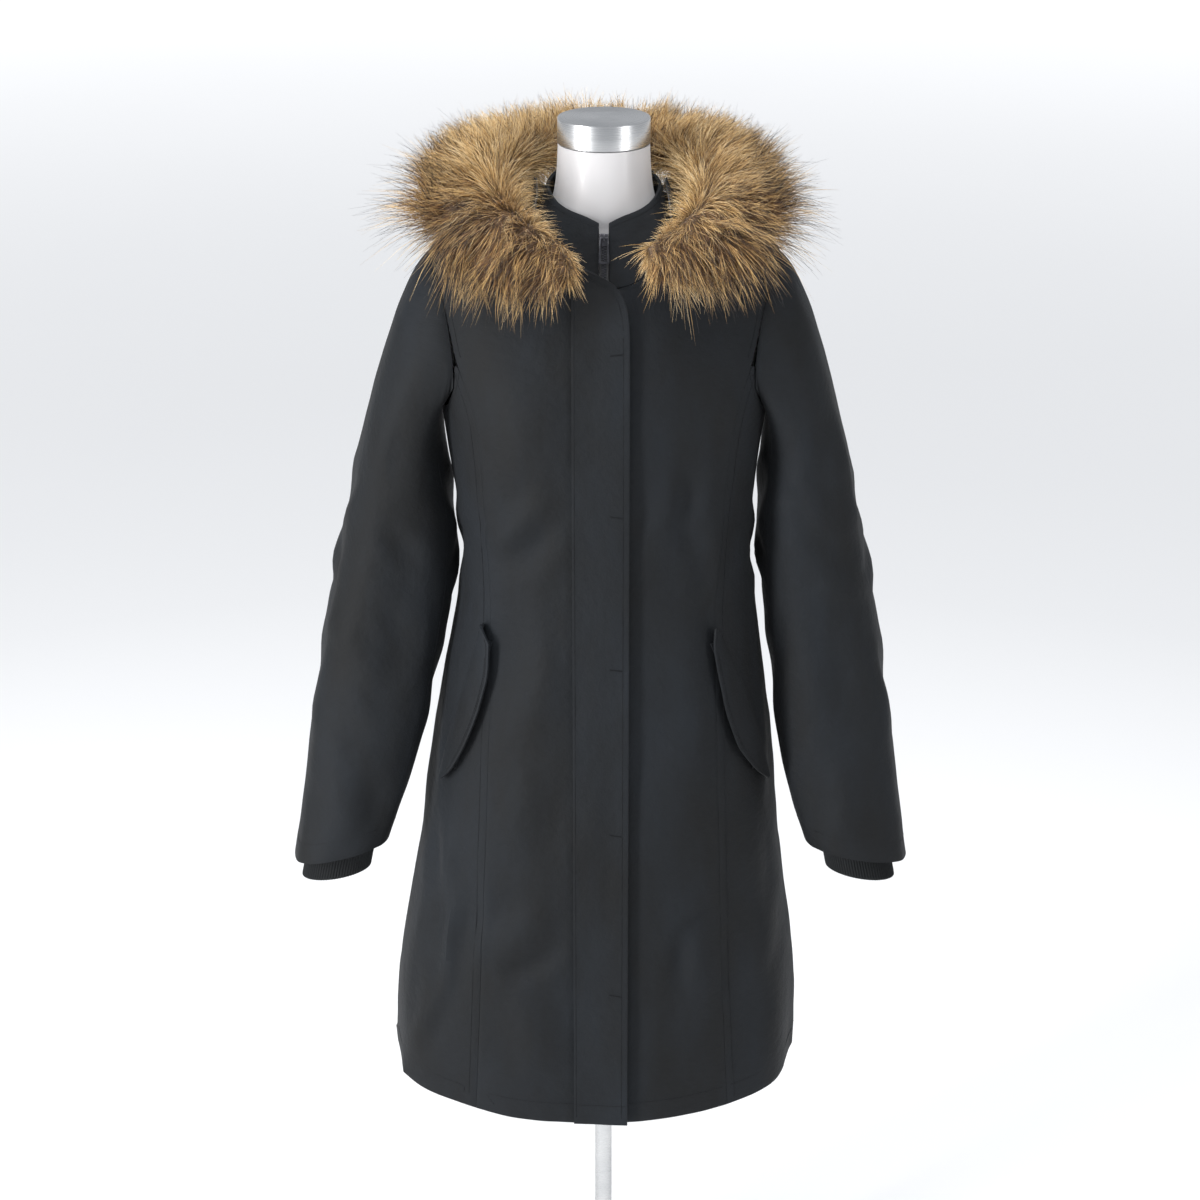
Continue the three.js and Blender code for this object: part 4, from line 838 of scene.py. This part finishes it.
# The storm cuffs: tubes of dark rib knit sewn inside the sleeve hems. Their ribs run down to a folded
# edge, and the tube leans outwards and to the front as the arm does.
CUFF_MM = {
    "wide": 38,
    "deep": 27,
    "wide at the top": 50,
    "deep at the top": 48,
    "widens from": 4,
    "below": 33,
    "above": 34,
    "slant": 6,
    "wall": 2,
    "rib": 0.8,
}
CUFF_RIBS = 76
CUFF_MIDDLE_MM = {-1: (-292.5, -36), 1: (280.5, -36)}
CUFF_LEAN = (0.2, 0.12)
SLEEVE_HEM_MM = 690


def cuff_ring(side, height, out, ribbed):
    """One ring of a cuff, at a height over the sleeve hem and at a distance out, in millimetres."""
    middle = CUFF_MIDDLE_MM[side]
    count = CUFF_RIBS * 4
    widens = CUFF_MM["widens from"]
    flare = min(max((height - widens) / (CUFF_MM["above"] - widens), 0), 1) ** 1.5
    ring = []
    for i in range(count):
        turn = 2 * math.pi * i / count
        rib = CUFF_MM["rib"] * math.cos(CUFF_RIBS * turn) if ribbed else 0
        wide = CUFF_MM["wide"] * (1 - flare) + CUFF_MM["wide at the top"] * flare + out + rib
        deep = CUFF_MM["deep"] * (1 - flare) + CUFF_MM["deep at the top"] * flare + out + rib
        ring.append(
            mm(
                middle[0] - side * (height * CUFF_LEAN[0] - wide * math.cos(turn)),
                middle[1] + height * CUFF_LEAN[1] - deep * math.sin(turn),
                SLEEVE_HEM_MM + height - CUFF_MM["slant"] * math.cos(turn),
            )
        )
    return ring


knit, add, shader, place, lint = speckled(
    "rib knit",
    {"Sheen Weight": 0.06, "Specular IOR Level": 0.15},
    {"Scale": 420.0, "Detail": 4.0},
    colours=((0.004, 0.0045, 0.005), (0.014, 0.0155, 0.017)),
    roughness=(0.75, 0.95),
)
loops = add("ShaderNodeTexWave", {"Vector": place, "Scale": 240.0}, bands_direction="Z").outputs["Fac"]
rough = raised(add, shader, loops, strength=0.4, distance=0.0004)
raised(add, shader, lint, strength=0.4, distance=0.0005, below=rough)
for side in (-1, 1):
    below, above = CUFF_MM["below"], CUFF_MM["above"]
    # Down the ribbed outside, round the folded edge and up the plain inside.
    sections = [(height, 0, True) for height in np.linspace(above, 2 - below, 16)]
    sections += [(0.4 - below, -0.4, True), (-below, -1, False)]
    sections += [(height, -CUFF_MM["wall"], False) for height in np.linspace(0.8 - below, above, 6)]
    bm = bmesh.new()
    rings = [[bm.verts.new(p) for p in cuff_ring(side, *section)] for section in sections]
    for low, high in zip(rings, rings[1:] + rings[:1]):
        for i in range(len(low)):
            k = (i + 1) % len(low)
            bm.faces.new((low[i], low[k], high[k], high[i]))
    bmesh.ops.recalc_face_normals(bm, faces=bm.faces)
    node = f"cuff_{WEARER[side]}"
    cuff = placed(node + "_knit", meshed(node, bm), knit)
    cuff.data.shade_smooth()
    fixed(cuff, "rib_knit", node)


# The hood, thrown back: two halves of the coat's cotton joined at the centre, and a lining of thin
# black satin inside that crinkles where the hood folds. Its front ends run down beside the collar.
# Without a seed of its own the vector noise differs from run to run.
noise.seed_set(3)


def crinkled(piece, size, deep):
    """Moves a thin wall's points together by a vector noise, so both its faces crinkle alike."""
    points = coordinates(piece.data)
    moves = np.array([noise.noise_vector(Vector(p)) for p in points / size])
    piece.data.vertices.foreach_set("co", (points + moves * deep).ravel())
    piece.data.update()


def black_satin():
    satin, add, shader = new_finish("black satin", {"Sheen Weight": 0.08})
    place = add("ShaderNodeTexCoord").outputs["Object"]
    folds = add(
        "ShaderNodeTexNoise", {"Vector": place, "Scale": 75.0, "Detail": 3.0, "Distortion": 1.2}
    ).outputs["Fac"]
    # The colour follows the crinkle height: painted shade in the troughs and a painted highlight on the
    # crests.
    drive(shader, "Base Color", blended(add, folds, (0.003, 0.003, 0.004), (0.012, 0.012, 0.014)))
    drive(shader, "Roughness", between(add, folds, 0.28, 0.42))
    raised(add, shader, folds, 0.6, 0.003)
    return satin


for side in (-1, 1):
    node = f"hood_{WEARER[side]}"
    half = closed_copy(node + "_cloth", node, navy, 0.03)
    weave_map(half, Vector((0, 0.1, 0)))
    half.data.shade_smooth()
    fixed(half, "cloth", node)
lining = closed_copy("hood_lining_cloth", "hood_lining", black_satin(), 0.03)
crinkled(lining, 0.012, 0.0004)
lining.data.shade_smooth()
fixed(lining, "lining", "hood_lining")
# The lining's front ends, from the neck seam out to the fur.
FACING_STEPS = 24
for side in (-1, 1):
    bm = bmesh.new()
    rows = []
    for k in range(FACING_STEPS + 1):
        turn = math.radians(-38 + 88 * k / FACING_STEPS)
        across, back = side * math.cos(turn), math.sin(turn)
        seam = (across * 84, back * 72 - 2, 1396 + 24 * max(0, back))
        fur_edge = (across * 124, back * 124 + 12, 1408 + 22 * max(0, back + 0.3))
        row = []
        for j in range(5):
            point = Vector(mm(*seam)).lerp(Vector(mm(*fur_edge)), j / 4)
            point.z -= 0.012 * math.sin(math.pi * j / 4)
            row.append(bm.verts.new(point + noise.noise_vector(point / 0.014) * 0.002))
        rows.append(row)
    for one, two in zip(rows, rows[1:]):
        for j in range(4):
            bm.faces.new((one[j], one[j + 1], two[j + 1], two[j])[::side])
    name = f"hood_facing_{WEARER[side]}"
    facing = placed(name, meshed(name, bm), lining.data.materials[0])
    modified(facing, "SOLIDIFY", thickness=0.0008, offset=0)
    plain(facing)
    facing.data.shade_smooth()
    fixed(facing, "lining")


# The fur trim: a pelt strip sewn round the hood's edge, dense with woolly underfur and long guard
# hairs in golden brown. They are combed away from the face, fall at the ends, and go dark at the tips.
FUR_LINE_MM = [
    (-34, -116, 1370),
    (-64, -122, 1379),
    (-108, -100, 1393),
    (-138, -48, 1410),
    (-142, 14, 1422),
    (-126, 82, 1430),
    (-78, 140, 1434),
    (0, 164, 1436),
    (76, 140, 1434),
    (122, 82, 1430),
    (136, 14, 1422),
    (134, -48, 1410),
    (110, -96, 1395),
    (74, -116, 1384),
    (46, -111, 1380),
]
PELT_SHARE = 0.56
FUR_BACK = 0.206
FUR_FRONT = 0.168
HOOD_CENTRE = np.array(mm(0, 25))
# Colours from root to tip of golden, pale and dark hairs, by the share of the length.
GOLDEN = [(0, (0.03, 0.014, 0.005)), (0.45, (0.36, 0.2, 0.065))]
GOLDEN += [(0.78, (0.66, 0.43, 0.17)), (1, (0.1, 0.05, 0.02))]
PALE = [(0, (0.12, 0.07, 0.025)), (0.4, (0.56, 0.38, 0.16))]
PALE += [(0.85, (0.88, 0.71, 0.44)), (1, (0.76, 0.58, 0.33))]
DARK = [(0, (0.03, 0.016, 0.008)), (0.35, (0.2, 0.1, 0.04))]
DARK += [(0.6, (0.04, 0.02, 0.01)), (1, (0.004, 0.003, 0.002))]


def nearest_on_line(points, line):
    """For each point the nearest point of a line through given points."""
    best = np.full(len(points), np.inf)
    nearest = np.zeros_like(points)
    for start, end in zip(line, line[1:]):
        run = end - start
        along = np.clip(((points - start) @ run) / (run @ run), 0, 1)
        spots = start + along[:, None] * run
        away = np.linalg.norm(points - spots, axis=1)
        nearer = away < best
        best[nearer] = away[nearer]
        nearest[nearer] = spots[nearer]
    return nearest


def fur_finish():
    """Hair whose colour runs from a brown root through gold to a pale or a dark tip."""
    fur, add, shader = new_finish("golden fur", {"Specular IOR Level": 0.25, "Sheen Weight": 0.1})
    along = add("ShaderNodeAttribute", attribute_name="along").outputs["Fac"]
    tone = add("ShaderNodeAttribute", attribute_name="tone").outputs["Fac"]
    patch = add("ShaderNodeAttribute", attribute_name="patch").outputs["Fac"]
    ramps = []
    for stops in (GOLDEN, PALE, DARK):
        ramp = add("ShaderNodeValToRGB", {"Fac": along})
        while len(ramp.color_ramp.elements) < len(stops):
            ramp.color_ramp.elements.new(0.5)
        for element, (place, colour) in zip(ramp.color_ramp.elements, stops):
            element.position = place
            element.color = (*colour, 1)
        ramps.append(ramp.outputs["Color"])
    pale = add("ShaderNodeMath", {0: tone, 1: patch}, operation="MULTIPLY").outputs[0]
    palest = add("ShaderNodeMapRange", {"Value": pale, "From Min": 0.12, "From Max": 0.42}).outputs[0]
    rim = add("ShaderNodeAttribute", attribute_name="rim").outputs["Fac"]
    tipped = add("ShaderNodeMath", {0: rim, 1: 0.55, 2: tone}, operation="MULTIPLY_ADD").outputs[0]
    dark = add("ShaderNodeMapRange", {"Value": tipped, "From Min": 0.82, "From Max": 0.88}).outputs[0]
    mixed = add("ShaderNodeMixRGB", {"Fac": palest, "Color1": ramps[0], "Color2": ramps[1]}).outputs[0]
    colour = add("ShaderNodeMixRGB", {"Fac": dark, "Color1": mixed, "Color2": ramps[2]}).outputs[0]
    drive(shader, "Base Color", colour)
    drive(shader, "Roughness", between(add, tone, 0.42, 0.62))
    return fur


def strand_tree():
    """Thin tapered hairs all over a pelt. Each lies along the pelt's "comb" and is as long as "reach"
    there; neighbours lean together in locks, and the tips fall."""
    sizes = [
        ("Density", "Float"), ("Seed", "Int"), ("Least", "Float"), ("Most", "Float"),
        ("Thick", "Float"), ("Spread", "Float"), ("Fall", "Float"), ("Finish", "Material"),
    ]
    tree, add, given, end = new_tree("fur strands", sizes)

    def named(name, kind):
        made = add("GeometryNodeInputNamedAttribute", {"Name": name}, data_type=kind)
        return made.outputs["Attribute"]

    def vector(operation, *values, out="Vector"):
        made = add("ShaderNodeVectorMath", operation=operation)
        for i, value in enumerate(values):
            socket = made.inputs["Scale"] if operation == "SCALE" and i == 1 else made.inputs[i]
            if isinstance(value, bpy.types.NodeSocket):
                tree.links.new(value, socket)
            else:
                socket.default_value = value
        return made.outputs[out]

    def number(operation, *values):
        return add("ShaderNodeMath", dict(enumerate(values)), operation=operation).outputs[0]

    def chance(kind, low, high, extra):
        made = add("FunctionNodeRandomValue", data_type=kind)
        seed = number("ADD", given["Seed"], extra)
        sockets = [s for s in made.inputs if s.enabled]
        for socket, value in zip(sockets, (low, high)):
            if isinstance(value, bpy.types.NodeSocket):
                tree.links.new(value, socket)
            else:
                socket.default_value = value
        tree.links.new(seed, made.inputs["Seed"])
        return next(s for s in made.outputs if s.enabled)

    roots = add(
        "GeometryNodeDistributePointsOnFaces",
        {"Mesh": given["Geometry"], "Density": number("MULTIPLY", given["Density"], named("cover", "FLOAT")),
         "Seed": given["Seed"]},
    )
    place = add("GeometryNodeInputPosition").outputs[0]
    lock = add("ShaderNodeTexNoise", {"Vector": place, "Scale": 50.0, "Detail": 1.0}).outputs["Color"]
    sweep = add("ShaderNodeTexNoise", {"Vector": place, "Scale": 17.0, "Detail": 1.0}).outputs["Color"]
    locks = vector("SCALE", vector("SUBTRACT", lock, (0.5, 0.5, 0.5)), 2.6)
    sweeps = vector("SCALE", vector("SUBTRACT", sweep, (0.5, 0.5, 0.5)), 1.3)
    stray = vector("SCALE", chance("FLOAT_VECTOR", (-1, -1, -1), (1, 1, 1), 1), given["Spread"])
    way = vector("ADD", named("comb", "FLOAT_VECTOR"), vector("ADD", locks, vector("ADD", sweeps, stray)))
    way = vector("NORMALIZE", way)
    share = chance("FLOAT", given["Least"], given["Most"], 2)
    long = number("MULTIPLY", named("reach", "FLOAT"), share)
    curl = vector("SCALE", chance("FLOAT_VECTOR", (-1, -1, -1), (1, 1, 1), 3), 0.12)
    fall = vector("ADD", vector("SCALE", (0, 0, -1), given["Fall"]), curl)
    bend = vector("SCALE", fall, long)
    points = roots.outputs["Points"]
    for name, kind, value in [
        ("tone", "FLOAT", chance("FLOAT", 0.0, 1.0, 4)),
        ("patch", "FLOAT", add("ShaderNodeTexNoise", {"Vector": place, "Scale": 34.0}).outputs["Fac"]),
        ("bend", "FLOAT_VECTOR", bend),
        ("way", "FLOAT_VECTOR", way),
        ("long", "FLOAT", long),
        ("rim", "FLOAT", named("rim", "FLOAT")),
    ]:
        store = add("GeometryNodeStoreNamedAttribute", {"Geometry": points, "Name": name, "Value": value},
                    data_type=kind)
        points = store.outputs[0]
    hair = add(
        "GeometryNodeMeshCone",
        {"Vertices": 3, "Side Segments": 3, "Radius Top": 0.2, "Radius Bottom": 1.0, "Depth": 1.0},
        fill_type="NONE",
    )
    rise = add("ShaderNodeSeparateXYZ", {"Vector": add("GeometryNodeInputPosition").outputs[0]}).outputs["Z"]
    marked = add(
        "GeometryNodeStoreNamedAttribute", {"Geometry": hair.outputs[0], "Name": "along", "Value": rise},
        data_type="FLOAT",
    )
    turn = add("FunctionNodeAlignRotationToVector", {"Vector": named("way", "FLOAT_VECTOR")}, axis="Z")
    size = add(
        "ShaderNodeCombineXYZ", {"X": given["Thick"], "Y": given["Thick"], "Z": named("long", "FLOAT")}
    )
    hairs = add(
        "GeometryNodeInstanceOnPoints",
        {"Points": points, "Instance": marked.outputs[0], "Rotation": turn.outputs[0],
         "Scale": size.outputs[0]},
    )
    real = add("GeometryNodeRealizeInstances", {"Geometry": hairs.outputs[0]})
    far = named("along", "FLOAT")
    offset = vector("SCALE", named("bend", "FLOAT_VECTOR"), number("MULTIPLY", far, far))
    bent = add("GeometryNodeSetPosition", {"Geometry": real.outputs[0], "Offset": offset})
    coloured = add("GeometryNodeSetMaterial", {"Geometry": bent.outputs[0], "Material": given["Finish"]})
    tree.links.new(coloured.outputs[0], end.inputs[0])
    return tree


def pelt_piece(name, material):
    """The pelt under the hairs: the trim's own form, drawn in to a share of its thickness."""
    pelt = closed_copy(name, "fur_trim", material, 0.03, levels=1)
    points = coordinates(pelt.data)
    line = nearest_on_line(points, np.array([mm(*p) for p in FUR_LINE_MM]))
    points = line + (points - line) * PELT_SHARE
    points += np.array([noise.noise_vector(Vector(p)) for p in points / 0.014]) * 0.0018
    pelt.data.vertices.foreach_set("co", points.ravel())
    pelt.data.update()
    pelt.data.shade_smooth()
    return pelt


def combed(pelt):
    """Stores on the pelt which way the hair lies, how far it may reach and where it grows."""
    points = coordinates(pelt.data)
    normals = coordinates(pelt.data, "normal")
    away = np.c_[points[:, :2] - HOOD_CENTRE, np.zeros(len(points))]
    away /= np.linalg.norm(away, axis=1)[:, None]
    front = np.clip((-points[:, 1] - 0.03) / 0.07, 0, 1)
    comb = away * 0.9 + np.array([0, 0, 1.0]) * (1.15 - 2.0 * front)[:, None]
    comb -= normals * np.sum(comb * normals, axis=1)[:, None]
    comb = comb * 0.85 + normals * 0.62
    comb /= np.linalg.norm(comb, axis=1)[:, None]
    envelope = nodes["fur_trim"].data
    skin = BVHTree.FromPolygons([v.co for v in envelope.vertices], [p.vertices for p in envelope.polygons])
    reach = np.full(len(points), 0.02)
    for i, (point, way) in enumerate(zip(points, comb)):
        hit = skin.ray_cast(Vector(point) + Vector(way) * 0.0005, Vector(way))
        if hit[0] is not None:
            reach[i] = hit[3]
    outer = np.clip(np.sum(normals * away, axis=1) * 0.6 + 0.55, 0.25, 1)
    reach = np.clip(reach, 0.014, 0.06) * (1.75 - 0.55 * front) * (0.7 + 0.3 * outer)
    for end, sign in ((FUR_BACK, 1), (FUR_FRONT, -1)):
        room = (end - sign * points[:, 1]) / np.maximum(sign * comb[:, 1], 0.35) / 1.5
        reach = np.minimum(reach, np.maximum(room, 0.008))
    rim = np.clip(np.sum(normals * away, axis=1), 0, 1)
    below = np.clip((normals[:, 2] + 0.9) / 0.3, 0.15, 1)
    for name, kind, values in (
        ("comb", "FLOAT_VECTOR", comb), ("reach", "FLOAT", reach), ("cover", "FLOAT", below),
        ("rim", "FLOAT", rim),
    ):
        data = pelt.data.attributes.new(name, kind, "POINT").data
        data.foreach_set("vector" if kind == "FLOAT_VECTOR" else "value", values.ravel())


def pelt_finish():
    pelt, add, shader = new_finish("brown pelt", {"Sheen Weight": 0.2})
    place = add("ShaderNodeTexCoord").outputs["Object"]
    wool = add("ShaderNodeTexNoise", {"Vector": place, "Scale": 160.0, "Detail": 5.0}).outputs["Fac"]
    drive(shader, "Base Color", blended(add, wool, (0.03, 0.016, 0.008), (0.2, 0.11, 0.05)))
    drive(shader, "Roughness", between(add, wool, 0.8, 1.0))
    raised(add, shader, wool, 0.8, 0.004)
    return pelt


fur = fur_finish()
strands = strand_tree()
for name, seed, density, least, most, thick, spread, fall in [
    ("fur_under", 11, 92000, 0.45, 0.85, 0.42, 0.3, 0.1),
    ("fur_guard_1", 23, 92000, 0.8, 1.25, 0.36, 0.16, 0.22),
    ("fur_guard_2", 37, 92000, 0.9, 1.5, 0.32, 0.22, 0.3),
]:
    root = pelt_piece(name + " root", fur)
    combed(root)
    sizes = {"Density": density, "Seed": seed, "Least": least, "Most": most}
    sizes.update({"Thick": thick / 1000, "Spread": spread, "Fall": fall})
    hairs = grown(name, root, strands, sizes, fur)
    hairs.data.shade_smooth()
    fixed(hairs, "fur", "fur_trim")
fixed(pelt_piece("fur_pelt", pelt_finish()), "fur", "fur_trim")


# The room: a pale floor, a pale sky, two strip lights at the sides and a soft one above. The floor also
# glows, more the further it lies from the stand: painted light from a part that is no lamp.
room, add, shader = new_finish("pale floor", {"Roughness": 0.9})
place = add("ShaderNodeTexCoord").outputs["Object"]
patches = add("ShaderNodeTexNoise", {"Vector": place, "Scale": 0.6}).outputs["Fac"]
drive(shader, "Base Color", blended(add, patches, (0.86, 0.86, 0.86), (0.9, 0.9, 0.9)))
away = add("ShaderNodeVectorMath", {0: place}, operation="LENGTH").outputs["Value"]
# Painted light: the floor's glow rises from nothing 2.5 m from the stand to 0.55 at 9 m.
painted_glow = add("ShaderNodeMapRange", {"Value": away, "From Min": 2.5, "From Max": 9.0, "To Max": 0.55})
shader.inputs["Emission Color"].default_value = (1, 1, 1, 1)
drive(shader, "Emission Strength", painted_glow.outputs["Result"])
bm = bmesh.new()
bmesh.ops.create_circle(bm, cap_ends=True, radius=24, segments=96)
ground = bpy.data.meshes.new("floor")
bm.to_mesh(ground)
bm.free()
placed("floor", ground, room)

world = bpy.data.worlds.new("sky")
world.use_nodes = True
world.node_tree.nodes["Background"].inputs["Color"].default_value = (0.92, 0.95, 1.0, 1)
world.node_tree.nodes["Background"].inputs["Strength"].default_value = 0.6
bpy.context.scene.world = world
bpy.context.scene.view_settings.view_transform = "Standard"

for name, spot, size, power in [
    ("strip light left", (-2.3, -1.7, 1.5), (0.5, 2.4), 125),
    ("strip light right", (2.3, -1.7, 1.5), (0.4, 2.4), 26),
    ("light above", (0, -0.6, 3.6), (2.6, 2.0), 90),
]:
    lamp = bpy.data.lights.new(name, "AREA")
    lamp.shape = "RECTANGLE"
    lamp.size, lamp.size_y = size
    lamp.energy = power
    holder = bpy.data.objects.new(name, lamp)
    holder.location = spot
    holder.rotation_euler = (Vector((0, 0, 1.0)) - Vector(spot)).to_track_quat("-Z", "Y").to_euler()
    bpy.context.scene.collection.objects.link(holder)

lens = bpy.data.cameras.new("camera")
lens.lens = 88.6
camera = bpy.data.objects.new("camera", lens)
camera.location = (-0.004, -3.0, 2.165)
camera.rotation_euler = (math.radians(68.2), 0, 0)
bpy.context.scene.collection.objects.link(camera)
bpy.context.scene.camera = camera
